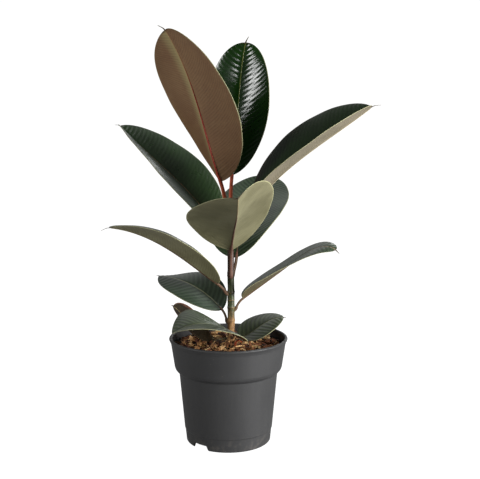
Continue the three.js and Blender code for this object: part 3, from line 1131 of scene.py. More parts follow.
@dataclass
class Bud:
    """The closed sheath at the stem's end, in millimetres and degrees."""

    length: float = 20.0
    radius: float = 2.9
    lean: float = 6.0
    sheath: Colour = tone(150, 62, 42)
    sheath_green: Colour = tone(108, 112, 54)
    seam: Colour = tone(92, 36, 26)

    def make(self, stem: Stem) -> bpy.types.Object:
        """Builds the bud: a turned spindle whose ring is pinched along a seam that winds up it.

        Args:
            stem: The stem that it ends.

        Returns:
            The finished piece.
        """
        share = np.array([0, 0.02, 0.1, 0.22, 0.35, 0.48, 0.6, 0.7, 0.8, 0.88, 0.94, 0.98, 1.0])
        full = np.array([0.6, 0.75, 0.9, 1.0, 0.94, 0.8, 0.66, 0.52, 0.38, 0.26, 0.15, 0.07, 0.02])
        fine = np.linspace(0, 1, 60)
        profile = np.stack([np.interp(fine, share, full) * self.radius, fine * self.length], 1)
        rings = turned(profile, 32)
        angle = np.arctan2(rings[..., 1], rings[..., 0])
        wrap = np.exp(-(((np.mod(angle + fine[:, None] * 3.2, 2 * np.pi) - np.pi) / 0.25) ** 2))
        rings[..., :2] *= (1 - 0.09 * wrap)[..., None]
        turn = turns(0.0, np.radians(self.lean), 0.0)[0]
        placed = rings @ turn.T + [stem.offset, 0, stem.apex + 0.1]
        piece = sweep(placed * MM, {"wrap": wrap}).build("terminal_bud_grown")

        paint = Paint("bud_sheath")
        place = paint.place()
        _, _, z = paint.parts(place)
        ripe = (z * 1000.0 - stem.apex).ramp(0.0, self.length)
        streak = paint.noise(place, 3.0, 3.0, 4.0)
        colour = paint.mix(ripe * 0.8 + (streak - 0.5) * 0.4, self.sheath_green, self.sheath)
        colour = paint.mix(paint.kept("wrap") * 0.5, colour, self.seam)
        rough = 0.35 + streak * 0.15
        piece.data.materials.append(
            paint.finish(Base_Color=colour, Roughness=rough, Normal=paint.relief(streak, 0.1))
        )
        return settle(piece, "terminal_bud")


# ------------------------------------------------------------------------------------ pot


@dataclass(frozen=True)
class MouldedFinish:
    """Matt moulded plastic, faintly grained, with dust low down and rubbed edges."""

    body: Colour = tone(39, 39, 40)
    pale: Colour = tone(70, 70, 70)
    dust: Colour = tone(120, 112, 100)
    roughness: float = 0.55

    def material(self, height: float) -> bpy.types.Material:
        """The plastic's material.

        Args:
            height: The pot's height in metres. It is not used.

        Returns:
            The material.
        """
        paint = Paint("nursery_plastic")
        place = paint.place()
        x, y, z = paint.parts(place)
        cloud = paint.noise(place, 46, 3.0, 1.0)
        grain = paint.noise(place, 0.8, 2.0, 2.0)
        drawn = paint.noise(paint.vector(x, y, z * 0.05), 5.0, 3.0, 3.0)
        specked = paint.noise(place, 17, 1.0).ramp(0.5, 0.7)
        specks = (1.0 - paint.cells(place, 9.0).ramp(0.03, 0.075)) * specked
        worn = paint.kept("edge")
        colour = paint.mix(cloud * 0.25 + drawn * 0.15 + worn * 0.35, self.body, self.pale)
        splash = (1.0 - z.ramp(0.0, 0.03)) * paint.noise(place, 8, 4.0, 6.0).ramp(0.45, 0.75)
        colour = paint.mix(splash * 0.22 + specks * 0.4, colour, self.dust)
        rough = self.roughness + (cloud - 0.5) * 0.12 + splash * 0.15 - worn * 0.08
        normal = paint.relief(grain * 0.7 + drawn * 0.6 + cloud, 0.12)
        return paint.finish(Base_Color=colour, Roughness=rough, Normal=normal)


@dataclass
class NurseryPot:
    """The tapered pot, in millimetres and degrees.

    Its lip flares out over a straight band, a shoulder leads in to the tapered body, and the body ends
    in a low skirt round a raised floor with drain holes. The middle of the floor rests on the ground.
    """

    height: float = 151.5
    lip_radius: float = 85.0
    wall: float = 1.8
    lip_depth: float = 8.5
    lip_rounding: float = 1.4
    lip_overhang: float = 2.8
    band_taper: float = 5.0
    band_low_depth: float = 41.5
    shoulder: float = 6.4
    neck_depth: float = 49.5
    body_taper: float = 10.3
    ledge_height: float = 19.0
    ledge_step: float = 0.8
    base_chamfer: float = 1.5
    skirt: float = 2.6
    floor_height: float = 9.0
    pad_radius: float = 22.0
    pad_slope: float = 5.0
    holes: int = 6
    hole_radius: float = 5.0
    notches: int = 2
    notch_width: float = 26.0
    notch_height: float = 6.5
    first_notch: float = -131.0
    sides: int = 288
    finish: MouldedFinish = MouldedFinish()

    @property
    def band_top(self) -> float:
        """The band's radius under the lip."""
        return self.lip_radius - self.lip_overhang

    @property
    def band_low(self) -> float:
        """The band's radius over the shoulder."""
        return self.band_top - self.band_taper

    @property
    def neck(self) -> float:
        """The body's radius under the shoulder."""
        return self.band_low - self.shoulder

    @property
    def base(self) -> float:
        """The body's radius at the bottom."""
        return self.neck - self.body_taper

    def body(self, height: float) -> float:
        """The body's radius at a height, along its straight taper."""
        return between(self.base, self.neck, height / (self.height - self.neck_depth))

    def wall_line(self) -> list[list[float]]:
        """The outside of the wall from the ledge to the lip.

        Returns:
            Pairs of radius and height.
        """
        neck, band = self.height - self.neck_depth, self.height - self.band_low_depth
        curve = [(0.45, 0.25), (0.82, 0.6), (1.0, 1.0)]
        shoulder = [
            [between(self.neck, self.band_low, out), between(neck, band, up)] for out, up in curve
        ]
        return [
            [self.body(self.ledge_height) + self.ledge_step, self.ledge_height + self.ledge_step],
            [self.neck, neck],
            *shoulder,
            [self.band_top, self.height - self.lip_depth],
        ]

    def inner_radius(self, height: float) -> float:
        """The radius inside the band at a height.

        Args:
            height: The height over the floor.

        Returns:
            The radius.
        """
        low, high = self.height - self.band_low_depth, self.height - self.lip_depth
        share = (height - self.wall / 2 - low) / (high - low)
        return between(self.band_low, self.band_top, share) - self.wall

    def profile(self) -> np.ndarray:
        """The whole section from the axis under the pot, over the lip and back to the axis inside.

        Returns:
            Pairs of radius and height, with soft corners.
        """
        top, soft = self.height, self.lip_rounding
        foot = self.base - self.skirt
        low = self.floor_height + self.wall
        outside = [
            [0.5, 0],
            [self.pad_radius, 0],
            [self.pad_radius + self.pad_slope, self.floor_height],
            [foot, self.floor_height],
            [foot, 0],
            [self.base - self.base_chamfer, 0],
            [self.body(self.base_chamfer), self.base_chamfer],
            [self.body(self.ledge_height), self.ledge_height],
            *self.wall_line(),
            [self.lip_radius - 0.6 * self.lip_overhang, top - 0.62 * self.lip_depth],
            [self.lip_radius - 0.12 * self.lip_overhang, top - 0.34 * self.lip_depth],
            [self.lip_radius, top - soft],
            [self.lip_radius - soft, top],
            [self.band_top - 0.3 * soft, top],
            [self.band_top - self.wall, top - soft],
        ]
        walls = [[r - self.wall, z + self.wall / 2] for r, z in self.wall_line()]
        inside = [[self.body(low) - self.wall, low], *walls][::-1]
        floor = [
            [self.pad_radius + self.pad_slope - self.wall / 2, low],
            [self.pad_radius - self.wall / 2, self.wall],
            [0.5, self.wall],
        ]
        return soft_corners([*outside, *inside, *floor], 0.7, 5)

    def shell(self) -> Shell:
        """The pot turned round its axis, with its notches.

        Under the ledge a height z becomes n + z (l - n) / l, where l is the ledge's height, or the
        floor's under the floor, and n is the notch's height inside a notch and 0 outside it.

        Returns:
            The shell in metres, with a value for rubbed edges.
        """
        corners = self.profile()
        line = np.empty((2 * len(corners) - 1, 2))
        line[::2], line[1::2] = corners, (corners[1:] + corners[:-1]) / 2
        rings = turned(line, self.sides)
        radius = np.hypot(rings[..., 0], rings[..., 1])
        angle = np.degrees(np.arctan2(rings[..., 1], rings[..., 0]))
        pitch = 360 / self.notches
        away = np.abs(np.mod(angle - self.first_notch + pitch / 2, pitch) - pitch / 2)
        arc = np.radians(away) * self.base
        flank_in, flank_out = self.notch_width / 2 - 2.4, self.notch_width / 2 + 1.6
        raised = self.notch_height * (1 - smooth(flank_in, flank_out, arc))
        z = rings[..., 2]
        foot = self.base - self.skirt
        outer = (np.arange(len(line)) < np.argmax(line[:, 1] >= self.height - 1))[:, None]
        limit = np.where(radius > foot + 1.3, self.ledge_height, self.floor_height)
        moves = outer & (radius > foot - 0.8) & (z < limit)
        rings[..., 2] = np.where(moves, raised + z * (limit - raised) / limit, z)
        flank = np.gradient(line, axis=0)
        turn = np.unwrap(np.arctan2(flank[:, 1], flank[:, 0]))
        edge = np.clip(np.abs(np.gradient(turn)) * 2.2, 0, 1)[:, None]
        return sweep(rings * MM, {"edge": np.broadcast_to(edge, rings.shape[:2])})

    def make(self) -> bpy.types.Object:
        """Builds the pot, drills its drain holes and dresses it.

        Returns:
            The finished piece.
        """
        piece = self.shell().build("pot_moulded")
        circle = (self.pad_radius + self.pad_slope + self.base - self.skirt) / 2
        drill_line = np.array([[self.hole_radius, 1.5], [self.hole_radius, self.floor_height + 6]])
        for bearing in np.radians((np.arange(self.holes) + 0.5) * 360 / self.holes):
            drill_rings = turned(drill_line, 32) + [circle * np.cos(bearing), circle * np.sin(bearing), 0]
            drill = sweep(drill_rings * MM).build("drill")
            cut = piece.modifiers.new("drain", "BOOLEAN")
            cut.object, cut.solver, cut.operation = drill, "EXACT", "DIFFERENCE"
            bake_modifiers(piece)
            bpy.data.objects.remove(drill)
        piece.data.materials.append(self.finish.material(self.height * MM))
        return settle(piece, "pot")


# ------------------------------------------------------------------------------------ mix and bark


class BarkTone(Enum):
    """The colours that weathered bark comes in."""

    DARK = tone(40, 22, 12)
    RED = tone(102, 54, 30)
    BROWN = tone(126, 82, 46)
    TAN = tone(188, 142, 90)
    STRAW = tone(234, 198, 140)
    RUST = tone(204, 84, 44)


@dataclass(frozen=True)
class BarkFinish:
    """Split bark: a tone of its own for each piece, shifted by flecks and fibres."""

    roughness: float = 0.85
    tones: tuple[BarkTone, ...] = (
        BarkTone.DARK, BarkTone.RED, BarkTone.BROWN, BarkTone.TAN, BarkTone.STRAW,
    )

    def material(self, name: str) -> bpy.types.Material:
        """The bark's material, which reads each piece's own tone.

        Args:
            name: The material's name.

        Returns:
            The material.
        """
        paint = Paint(name)
        place = paint.place()
        mood = paint.kept("mood")
        fleck = paint.noise(place, 2.4, 4.0, 3.0)
        fibre = paint.noise(paint.vector(paint.kept("length_way"), paint.kept("cross_way"), mood), 1.0, 3.0)
        share = mood + (fleck - 0.5) * 0.5 + (fibre - 0.5) * 0.35
        last = len(self.tones) - 1
        stops = [(0.08 + 0.84 * i / last, item.value) for i, item in enumerate(self.tones)]
        colour = paint.stops(share, stops)
        relief = paint.relief(fleck * 0.6 + fibre * 0.6, 0.5)
        rough = self.roughness + (fleck - 0.5) * 0.15
        return paint.finish(Base_Color=colour, Roughness=rough, Normal=relief)


@dataclass
class PottingMix:
    """The potting mix in the pot, with its loose bark, in millimetres and degrees.

    Attributes:
        pot: The pot that holds it.
        stem: The stem that stands in it.
        depth_below_rim: From the rim down to the mix at the wall.
        gap: Between the mix and the wall.
        mound: How much higher it is at the stem.
        unevenness: Height of its low waves.
        bits: How many small bits lie on it.
        bit_lengths: Shortest and longest bit, before some are halved.
        halved: The share of the bits that have half the length.
        bit_widths: Narrowest and widest, in shares of the length.
        bit_heights: Thinnest and thickest, in shares of the length.
        seed: Of the bits' sizes and places.
        sliver: Thickness of a sliver.
        curl_place: From the stem's axis to the curled sliver.
        curl_bearing: Of the line that the curl winds round, from +Y.
        curl_radius: Its radius where it starts.
        curl_growth: How much the radius grows for each radian.
        curl_advance: How far it moves along that line for each radian.
        curl_lift: Height of that line over the mix.
        strip_span: Bearings between which the straight strip lies.
        strip_inset: From the mix's edge to the strip.
        strip_lift: Height of the strip's middle over the mix at the wall.
        strip_lean: How far its flat side looks up.
        bark: The finish of the chips and bits.
    """

    pot: NurseryPot
    stem: Stem
    depth_below_rim: float = 12.5
    gap: float = 0.5
    mound: float = 3.0
    unevenness: float = 0.7
    bits: int = 1500
    bit_lengths: tuple[float, float] = (4.0, 19.0)
    halved: float = 0.4
    bit_widths: tuple[float, float] = (0.12, 0.4)
    bit_heights: tuple[float, float] = (0.06, 0.2)
    seed: int = 11
    sliver: float = 0.84
    curl_place: tuple[float, float] = (13.0, -31.0)
    curl_bearing: float = 28.0
    curl_radius: float = 3.4
    curl_growth: float = 0.5
    curl_advance: float = 1.5
    curl_lift: float = 7.6
    strip_span: tuple[float, float] = (-101.0, -74.0)
    strip_inset: float = 2.6
    strip_lift: float = 4.2
    strip_lean: float = 48.0
    bark: BarkFinish = BarkFinish()

    @property
    def line(self) -> float:
        """The height of the mix at the pot's wall."""
        return self.pot.height - self.depth_below_rim

    @property
    def radius(self) -> float:
        """The radius of the mix at the pot's wall."""
        return self.pot.inner_radius(self.line) - self.gap

    def height(self, places: np.ndarray) -> np.ndarray:
        """The height of the mix: a parabola round the stem, and low waves that fade at the wall.

        Args:
            places: Points with x and y first on the last axis.

        Returns:
            The height at each point.
        """
        x, y = places[..., 0], places[..., 1]
        out = np.hypot(x - self.stem.offset, y) / self.radius
        waves = np.sin(x / 8.5 + 0.6) * np.cos(y / 10.5)
        fade = np.clip(3 * (1 - np.hypot(x, y) / self.radius), 0, 1)
        return self.line + self.mound * np.maximum(0, 1 - out**2) + self.unevenness * waves * fade

    def ground(self) -> bpy.types.Object:
        """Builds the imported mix: a turned solid whose top takes the mound's height and small crumbs.

        Returns:
            The finished piece.
        """
        inner = [[r - self.pot.wall - self.gap, z + 1.2] for r, z in self.pot.wall_line()]
        sides = [pair for pair in inner if pair[1] < self.line - 1]
        low = self.pot.floor_height + self.pot.wall + self.gap
        slope = self.pot.pad_radius + self.pot.pad_slope
        bottom = [
            [0.5, self.pot.wall + self.gap],
            [self.pot.pad_radius - 1.2, self.pot.wall + self.gap],
            [slope - 1.2, low],
            [self.pot.body(low) - self.pot.wall - self.gap, low],
        ]
        top = [[r, self.line] for r in np.linspace(self.radius, 0.4, 90)]
        rings = turned(np.array([*bottom, *sides, *top]), 220)
        crumbs = ripple(rings[..., :2], 26, 5.0, self.seed) * 0.7
        crumbs += ripple(rings[..., :2], 26, 2.0, self.seed + 1) * 0.4
        fine = np.minimum(1, 3 * (1.02 - np.hypot(rings[..., 0], rings[..., 1]) / self.radius))
        on_top = rings[..., 2] > self.line - 0.01
        rings[..., 2] = np.where(on_top, self.height(rings) + crumbs * fine - 0.6, rings[..., 2])
        piece = sweep(rings * MM).build("potting_mix_bed")

        paint = Paint("moist_mix")
        place = paint.place()
        lump = paint.noise(place, 6.0, 4.0, 2.0)
        crumb = paint.cells(place, 3.0)
        grain = paint.noise(place, 1.2, 3.0, 5.0)
        earth = [(0.3, tone(14, 8, 5)), (0.5, tone(38, 23, 13)), (0.72, tone(86, 52, 28))]
        colour = paint.stops(lump * 0.6 + grain * 0.4, earth)
        relief = paint.relief(lump + grain * 0.5 - crumb * 0.6, 1.2)
        piece.data.materials.append(paint.finish(Base_Color=colour, Roughness=0.95, Normal=relief))
        return settle(piece, "potting_mix")

    @staticmethod
    def nugget(rows: int, sides: int, seed: int) -> np.ndarray:
        """A bark bit as rings along its length, one unit long, wide and high.

        Each ring is a squared ellipse, (|cos|^0.6, |sin|^0.6) with its signs, that narrows to the two
        ends, and seeded knocks of up to 12% move its points.

        Args:
            rows: Rings along the bit.
            sides: Points round each ring.
            seed: Seed of the knocks.

        Returns:
            Points with the shape (rows, sides, 3), each within half a unit of the middle.
        """
        rng = np.random.default_rng(seed)
        u = np.linspace(-1, 1, rows)[:, None]
        angle = np.linspace(0, 2 * np.pi, sides, endpoint=False) + 0.3
        full = (1 - np.abs(u) ** 3 * 0.55) * 0.5
        y = full * np.sign(np.cos(angle)) * np.abs(np.cos(angle)) ** 0.6
        z = full * np.sign(np.sin(angle)) * np.abs(np.sin(angle)) ** 0.6
        x = np.broadcast_to(u * 0.5, y.shape)
        rings = np.stack([x, y, z], -1)
        return np.clip(rings + rng.uniform(-0.12, 0.12, rings.shape), -0.5, 0.5)

    def chip(self, node: str, number: int) -> bpy.types.Object:
        """Builds one large chip in the place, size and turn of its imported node.

        Args:
            node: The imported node.
            number: Its number, which seeds its shape and tone.

        Returns:
            The finished piece.
        """
        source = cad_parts[node].data
        flat = np.empty(len(source.vertices) * 3)
        source.vertices.foreach_get("co", flat)
        cloud = np.unique(flat.reshape(-1, 3).round(6), axis=0)
        middle = (cloud.max(0) + cloud.min(0)) / 2
        _, _, turn = np.linalg.svd(cloud - cloud.mean(0), full_matrices=False)
        if np.linalg.det(turn) < 0:
            turn[2] *= -1
        local = (cloud - middle) @ turn.T
        size = np.ptp(local, axis=0)
        rings = self.nugget(15, 14, 100 + number)
        shape = rings.shape[:2]
        values = {
            "mood": np.full(shape, 0.2 + 0.6 * ((number * 0.618) % 1)),
            "length_way": rings[..., 0] * size[0] * 0.3,
            "cross_way": rings[..., 1] * size[1] * 2,
        }
        placed = (rings * size) @ turn + middle
        piece = sweep(placed, values).build(f"{node}_split", rounded=False)
        piece.data.materials.append(bpy.data.materials["split_bark"])
        return settle(piece, node)

    def litter(self) -> bpy.types.Object:
        """Builds the small loose bark as one piece of many closed bits.

        Each bit is one of eight nuggets, scaled, turned about +Z, tipped by a few degrees and laid on
        the mound: p = R (scale * nugget) + place. The wall and the stem's foot are kept clear.

        Returns:
            The finished piece.
        """
        rng = np.random.default_rng(self.seed)
        rows, sides, kinds = 4, 6, 8
        shapes = np.stack([self.nugget(rows, sides, 40 + k) for k in range(kinds)])
        count = self.bits
        whole = rng.uniform(*self.bit_lengths, count)
        length = whole * rng.choice([0.5, 1.0], count, p=[self.halved, 1 - self.halved])
        width = length * rng.uniform(*self.bit_widths, count)
        thickness = length * rng.uniform(*self.bit_heights, count)
        size = np.stack([length, width, thickness], 1)
        out = np.sqrt(rng.uniform(0.004, 1, count)) * (self.radius - 1.5 - length * 0.42)
        bearing = rng.uniform(0, 2 * np.pi, count)
        spot = np.stack([out * np.cos(bearing), out * np.sin(bearing)], 1)
        from_stem = spot - [self.stem.offset, 0]
        distance = np.linalg.norm(from_stem, axis=1, keepdims=True)
        clear = self.stem.foot_radius + 0.9 + 0.3 * length[:, None]
        spot = np.where(distance < clear, [self.stem.offset, 0] + from_stem / distance * clear, spot)

        yaw = rng.uniform(0, 2 * np.pi, count)
        tip = np.radians(rng.normal(0, 17, count)).clip(-0.75, 0.75)
        bank = np.radians(rng.normal(0, 22, count))
        turn = turns(yaw, tip, bank)
        bits = shapes[rng.integers(0, kinds, count)] * size[:, None, None, :]
        placed = np.einsum("nij,nrsj->nrsi", turn, bits)
        rest = -placed[..., 2].min((1, 2))
        bury = rng.uniform(-0.5, 1.0, count) * thickness + rng.uniform(0, 1.6, count) * (length < 8)
        level = self.height(spot) + np.minimum(rest * 0.55 + bury * 0.5, 5.5)
        placed = placed + np.concatenate([spot, level[:, None]], 1)[:, None, None, :]

        sample = sweep(placed[0])
        block = len(sample.points)
        offsets = (np.arange(count) * block)[:, None, None]
        flat = placed.reshape(count, rows * sides, 3)
        poles = np.stack([placed[:, 0].mean(1), placed[:, -1].mean(1)], 1)
        points = np.concatenate([flat, poles], 1).reshape(-1, 3)
        mood = rng.beta(0.95, 1.25, count)
        pad = np.zeros((count, 2))
        local = bits.reshape(count, rows * sides, 3)
        values = {
            "mood": np.repeat(mood, block),
            "length_way": np.concatenate([local[..., 0], pad], 1).ravel() * 0.3 * MM,
            "cross_way": np.concatenate([local[..., 1], pad], 1).ravel() * 2 * MM,
        }
        shell = Shell(
            points * MM,
            (sample.quads[None] + offsets).reshape(-1, 4),
            (sample.triangles[None] + offsets).reshape(-1, 3),
            values,
        )
        piece = shell.build("bark_litter", rounded=False)
        piece.data.materials.append(bpy.data.materials["split_bark"])
        return settle(piece)

    def strip_along(
        self, name: str, middle: np.ndarray, flat_way: np.ndarray, width: float, finish: BarkFinish
    ) -> bpy.types.Object:
        """Builds a thin strip of bark along a line.

        Each ring is a flat ellipse, thick along flat_way and broad across both flat_way and the line.
        Its breadth is the width times the root of a half sine wave, so both ends are drawn in.

        Args:
            name: The piece's name.
            middle: The line's places.
            flat_way: At each place, the unit direction that the strip's flat side faces.
            width: Half of the greatest breadth.
            finish: The strip's bark.

        Returns:
            The finished piece.
        """
        ahead = np.gradient(middle, axis=0)
        ahead /= np.linalg.norm(ahead, axis=1, keepdims=True)
        across = np.cross(ahead, flat_way)
        share = np.linspace(0, 1, len(middle))
        broad = width * np.sqrt(np.sin(np.pi * (0.04 + 0.92 * share)))
        around = np.linspace(0, 2 * np.pi, 14, endpoint=False)
        rings = middle[:, None] + flat_way[:, None] * (self.sliver / 2 * np.cos(around))[None, :, None]
        rings = rings + across[:, None] * (broad[:, None] * np.sin(around))[..., None]
        shape = rings.shape[:2]
        values = {
            "mood": np.broadcast_to(0.35 + 0.3 * share[:, None], shape),
            "length_way": np.broadcast_to(share[:, None] * 0.01, shape),
            "cross_way": np.broadcast_to(np.sin(around) * 0.006, shape),
        }
        piece = sweep(rings * MM, values).build(name)
        piece.data.materials.append(finish.material(f"{name}_bark"))
        return settle(piece)

    def curl(self) -> bpy.types.Object:
        """Builds a rusty sliver wound into an open curl: (r cos a, d a, r sin a), where r grows with a.

        Returns:
            The finished piece.
        """
        angle = np.linspace(0.4, 5.1, 44)
        level = np.zeros(len(angle))
        spin = turns(np.radians(self.curl_bearing), 0.0, 0.0)[0]
        radial = np.stack([np.cos(angle), level, np.sin(angle)], 1)
        radius = self.curl_radius + self.curl_growth * angle
        middle = radial * radius[:, None] + np.stack([level, self.curl_advance * angle, level], 1)
        spot = np.array([self.stem.offset, 0.0]) + self.curl_place
        middle = middle @ spin.T + [*spot, self.height(spot) + self.curl_lift]
        rust = BarkFinish(0.7, (BarkTone.RED, BarkTone.RUST, BarkTone.RUST, BarkTone.TAN))
        return self.strip_along("bark_curl", middle, radial @ spin.T, 2.3, rust)

    def strip(self) -> bpy.types.Object:
        """Builds a pale strip that leans on the pot's wall at the front and follows its round.

        Returns:
            The finished piece.
        """
        angle = np.radians(np.linspace(*self.strip_span, 40))
        out = self.radius - self.strip_inset + 0.8 * np.sin(angle * 9)
        level = self.line + self.strip_lift + 0.9 * np.sin(angle * 7)
        middle = np.stack([out * np.cos(angle), out * np.sin(angle), level], 1)
        lean = np.radians(self.strip_lean)
        flat_way = np.stack(
            [-np.cos(angle) * np.cos(lean), -np.sin(angle) * np.cos(lean), np.sin(lean) + 0 * angle], 1
        )
        straw = BarkFinish(0.75, (BarkTone.TAN, BarkTone.STRAW, BarkTone.STRAW, BarkTone.TAN))
        return self.strip_along("bark_strip", middle, flat_way, 2.6, straw)

    def make(self) -> list[bpy.types.Object]:
        """Builds the mix, its large chips, its litter and two slivers.

        Returns:
            The finished pieces.
        """
        self.bark.material("split_bark")
        nodes = sorted(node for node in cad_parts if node.startswith("bark_chip"))
        chips = [self.chip(node, number) for number, node in enumerate(nodes)]
        return [self.ground(), *chips, self.litter(), self.curl(), self.strip()]


# ------------------------------------------------------------------------------------ joining up


def bake_modifiers(piece: bpy.types.Object) -> None:
    """Gives a piece the mesh that its modifiers make, and clears them.

    Args:
        piece: The piece, which is changed.
    """
    bpy.context.view_layer.update()
    result = piece.evaluated_get(bpy.context.evaluated_depsgraph_get())
    made = bpy.data.meshes.new_from_object(result)
    piece.modifiers.clear()
    piece.data = made


def settle(piece: bpy.types.Object, node: str | None = None) -> bpy.types.Object:
    """Joins a piece to the plant's body.

    Args:
        piece: The new piece.
        node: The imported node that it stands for, if there is one.

    Returns:
        The same piece.
    """
    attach(piece, BODY)
    if node:
        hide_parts(node)
    return piece


# ------------------------------------------------------------------------------------ studio


@dataclass(frozen=True)
class Softbox:
    """An oblong white studio light: its place, its width and height, and its power in watts."""

    name: str
    place: tuple[float, float, float]
    width: float
    height: float
    power: float
    target: tuple[float, float, float] = (0.0, 0.0, 0.3)

    def make(self) -> bpy.types.Object:
        """Builds the light and turns it to its target.

        Returns:
            The light's object.
        """
        light = bpy.data.lights.new(self.name, "AREA")
        light.shape = "RECTANGLE"
        light.size, light.size_y = self.width, self.height
        light.energy = self.power
        lamp = bpy.data.objects.new(self.name, light)
        lamp.location = self.place
        lamp.visible_camera = False
        aim = np.array(self.target) - np.array(self.place)
        flat = float(np.hypot(aim[0], aim[1]))
        lamp.rotation_euler = (float(np.arctan2(flat, -aim[2])), 0.0, float(np.arctan2(-aim[0], aim[1])))
        bpy.context.scene.collection.objects.link(lamp)
        return lamp


@dataclass(frozen=True)
class Studio:
    """A pale sweep of paper, soft lights and the camera, in metres and degrees.

    Attributes:
        paper: The paper's own colour.
        paper_seen: How bright the paper and the room are to the camera.
        paper_glow: How bright the paper is to the plant.
        sky: How bright the room is to the plant.
        lens: Focal length in millimetres, on a sensor 36 mm wide.
        eye: The camera's place.
        tilt: How far the camera looks down.
        lights: The lights.
    """

    paper: Colour = (0.14, 0.14, 0.14)
    paper_seen: float = 1.0
    paper_glow: float = 0.15
    sky: float = 0.10
    lens: float = 65.25
    eye: tuple[float, float, float] = (0.0167, -1.2206, 0.4549)
    tilt: float = 7.6
    lights: tuple[Softbox, ...] = (
        Softbox("key_right", (1.95, -1.15, 0.55), 0.9, 0.9, 105),
        Softbox("strip_left", (-1.97, -0.56, 1.08), 0.2, 1.0, 13),
        Softbox("box_front_left", (-1.57, -1.3, 0.88), 0.34, 0.5, 10),
        Softbox("panel_behind", (0.3, 1.9, 1.95), 3.2, 2.6, 13),
        Softbox("low_behind", (0.75, 2.1, 0.95), 0.7, 0.5, 5),
        Softbox("box_above", (0.95, 0.15, 2.0), 0.8, 0.8, 6),
    )

    def backdrop(self) -> bpy.types.Object:
        """Builds the paper: a floor that turns up into a wall along a quarter circle.

        Returns:
            The paper.
        """
        radius, wall = 1.6, 2.4
        bend = np.linspace(0, np.pi / 2, 40)
        y = np.concatenate([np.linspace(-6, wall, 30), wall + radius * np.sin(bend)[1:]])
        z = np.concatenate([np.zeros(30), radius * (1 - np.cos(bend))[1:]])
        y, z = np.append(y, wall + radius), np.append(z, 9.0)
        x = np.array([-8.0, 8.0])
        points = np.stack([np.tile(x, len(y)), np.repeat(y, 2), np.repeat(z, 2)], 1)
        low = np.arange(len(y) - 1) * 2
        quads = np.stack([low, low + 1, low + 3, low + 2], 1)
        made = Shell(points, quads, np.empty((0, 3), int)).build("paper_sweep")
        paint = Paint("studio_paper")
        glow = paint.seen() * (self.paper_seen - self.paper_glow) + self.paper_glow
        made.data.materials.append(
            paint.finish(Base_Color=self.paper, Roughness=0.9, Emission_Color=glow, Emission_Strength=1.0)
        )
        return made

    def room(self) -> bpy.types.World:
        """Makes the room's white light, faint on the plant and as bright as the paper to the camera.

        Returns:
            The world.
        """
        world = bpy.data.worlds.new("soft_room")
        world.use_nodes = True
        board = Board(world.node_tree)
        background = world.node_tree.nodes["Background"]
        board.plug(background.inputs["Color"], (1.0, 1.0, 1.0))
        bright = board.seen() * (self.paper_seen - self.sky) + self.sky
        board.plug(background.inputs["Strength"], bright)
        return world

    def make(self) -> None:
        """Builds the studio and sets the scene's camera."""
        scene = bpy.context.scene
        self.backdrop()
        for light in self.lights:
            light.make()
        scene.world = self.room()
        scene.view_settings.view_transform = "Standard"
        data = bpy.data.cameras.new("camera")
        data.lens, data.sensor_width = self.lens, 36.0
        camera = bpy.data.objects.new("camera", data)
        camera.location = self.eye
        camera.rotation_euler = (float(np.radians(90 - self.tilt)), 0.0, 0.0)
        scene.collection.objects.link(camera)
        scene.camera = camera


# ------------------------------------------------------------------------------------ the plant

YOUNG = LeafFinish(
    upper=tone(14, 44, 4),
    upper_fresh=tone(28, 66, 10),
    under=tone(130, 98, 66),
    under_blush=tone(116, 82, 54),
    halo=tone(156, 142, 96),
    halo_side=1.0,
    rib_under=tone(138, 26, 18),
    rib_fade=tone(176, 142, 96),
    petiole=tone(190, 76, 44),
    rib_upper=tone(126, 132, 70),
    gloss=0.14,
    quilting=0.55,
    vein_light=0.25,
)
RED_RIBBED = LeafFinish(
    under_blush=tone(106, 102, 74),
    rib_under=tone(66, 18, 18),
    petiole=tone(88, 52, 46),
)
BROWN_RIBBED = LeafFinish(
    under=tone(150, 146, 110),
    under_blush=tone(128, 122, 88),
    rib_under=tone(94, 60, 42),
    petiole=tone(92, 60, 44),
    vein_light=0.8,
)
BROAD_VEINED = LeafFinish(
    upper=tone(20, 38, 18),
    upper_fresh=tone(54, 72, 46),
    petiole=tone(84, 58, 44),
    quilting=1.8,
    vein_light=0.7,
)
SHADED = LeafFinish(
    under=tone(96, 88, 62),
    under_blush=tone(80, 70, 46),
    rib_under=tone(92, 56, 40),
    petiole=tone(92, 64, 46),
    vein_light=0.9,
)
BEIGE_RIBBED = LeafFinish(
    under=tone(138, 128, 108),
    under_blush=tone(116, 108, 88),
    rib_under=tone(178, 166, 142),
)
OLD = LeafFinish(
    upper=tone(48, 58, 42),
    upper_fresh=tone(74, 84, 62),
    under=tone(110, 106, 78),
    under_blush=tone(92, 86, 58),
    rib_upper=tone(120, 122, 96),
    petiole=tone(92, 66, 46),
    gloss=0.36,
    quilting=1.6,
    vein_light=1.1,
)
OLD_DARK = replace(OLD, upper=tone(30, 40, 30), upper_fresh=tone(54, 66, 52))
DRY = LeafFinish(
    under=tone(60, 48, 30),
    under_blush=tone(42, 32, 20),
    rib_under=tone(56, 40, 22),
    petiole=tone(78, 66, 40),
    dryness=0.9,
    gloss=0.4,
)

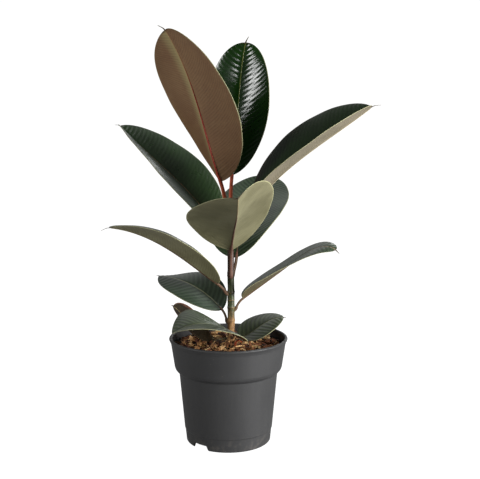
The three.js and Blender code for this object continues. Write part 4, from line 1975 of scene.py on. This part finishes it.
LEAVES: dict[str, Leaf] = {
    "leaf_crown_left": Leaf(
        182, (2.6, 56, -124, 84), (218, 133), (-138, -174),
        (67, 72, 56), (0, 33), (33, -8), (11, 17), finish=YOUNG,
    ),
    "leaf_crown_back": Leaf(
        186, (2.6, 60, 93, 78), (195, 107), (77, 44),
        (64, 81, 74), (-27, 16), (-1, 13), (11, 45), finish=YOUNG,
    ),
    "leaf_upper_left": Leaf(
        152, (2.3, 28, 153, 44), (230, 110), (137, 152),
        (45, 35, 41), (-10, 2), (29, 30), (10, -7),
    ),
    "leaf_upper_right": Leaf(
        170, (2.3, 34, 3, 49), (224, 119), (-42, 8),
        (51, 37, 37), (37, 6), (31, 31), (13, -2), finish=BEIGE_RIBBED,
    ),
    "leaf_front": Leaf(
        105, (2.5, 46, -92, 74), (219, 125), (-85, -89),
        (40, 18, 31), (8, 24), (19, 37), (8, 10), finish=RED_RIBBED,
    ),
    "leaf_rear": Leaf(
        102, (2.3, 30, 68, 48), (218, 119), (84, 64),
        (43, 24, 36), (-19, 9), (9, 14), (8, 20), finish=BROAD_VEINED,
    ),
    "leaf_middle_left": Leaf(
        78, (1.9, 17, -168, 55), (178, 104), (-158, -163),
        (37, 33, 7), (-11, 8), (39, 14), (12, -31), finish=BROWN_RIBBED,
    ),
    "leaf_middle_right": Leaf(
        55, (1.7, 16, 8, 70), (158, 78), (10, -26),
        (36, 39, 53), (-13, 17), (26, 0), (8, -48),
        widest=0.75, fullness=0.47, droop=88, finish=SHADED,
    ),
    "leaf_lower_left": Leaf(
        36, (1.7, 16, 144, 80), (113, 75), (152, 162),
        (44, 23, 1), (-41, -4), (26, -10), (5, -10), finish=OLD_DARK,
    ),
    "leaf_rim_left": Leaf(
        13, (1.6, 12, -63, 37), (121, 99), (-107, -172),
        (26, 16, -38), (-25, 5), (6, 16), (4, -50), nick=Nick(-1, 0.5, 2.5), finish=OLD,
    ),
    "leaf_rim_right": Leaf(
        8, (1.5, 4, -21, 29), (74, 67), (22, -4),
        (9, 34, -2), (18, 8), (20, -3), (4, -10), finish=OLD,
    ),
    "leaf_soil_left": Leaf(
        9, (1.3, 17, 171, -3), (84, 46), (198, 165),
        (-16, 57, 28), (30, 61), (40, 21), (3, 15), finish=DRY,
    ),
}


def main() -> None:
    logging.basicConfig(level=logging.INFO, format="%(name)s: %(message)s")
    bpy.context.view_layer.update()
    Studio().make()
    LOG.info("studio ready")
    pot = NurseryPot()
    pot.make()
    LOG.info("pot made")
    stem = Stem([leaf.node for leaf in LEAVES.values()])
    stem.make()
    Bud().make(stem)
    LOG.info("stem and bud made")
    for number, (name, leaf) in enumerate(LEAVES.items()):
        leaf.make(name, stem, number + 1)
        LOG.info("%s made", name)
    PottingMix(pot, stem).make()
    LOG.info("potting mix made")


if __name__ == "__main__":
    main()
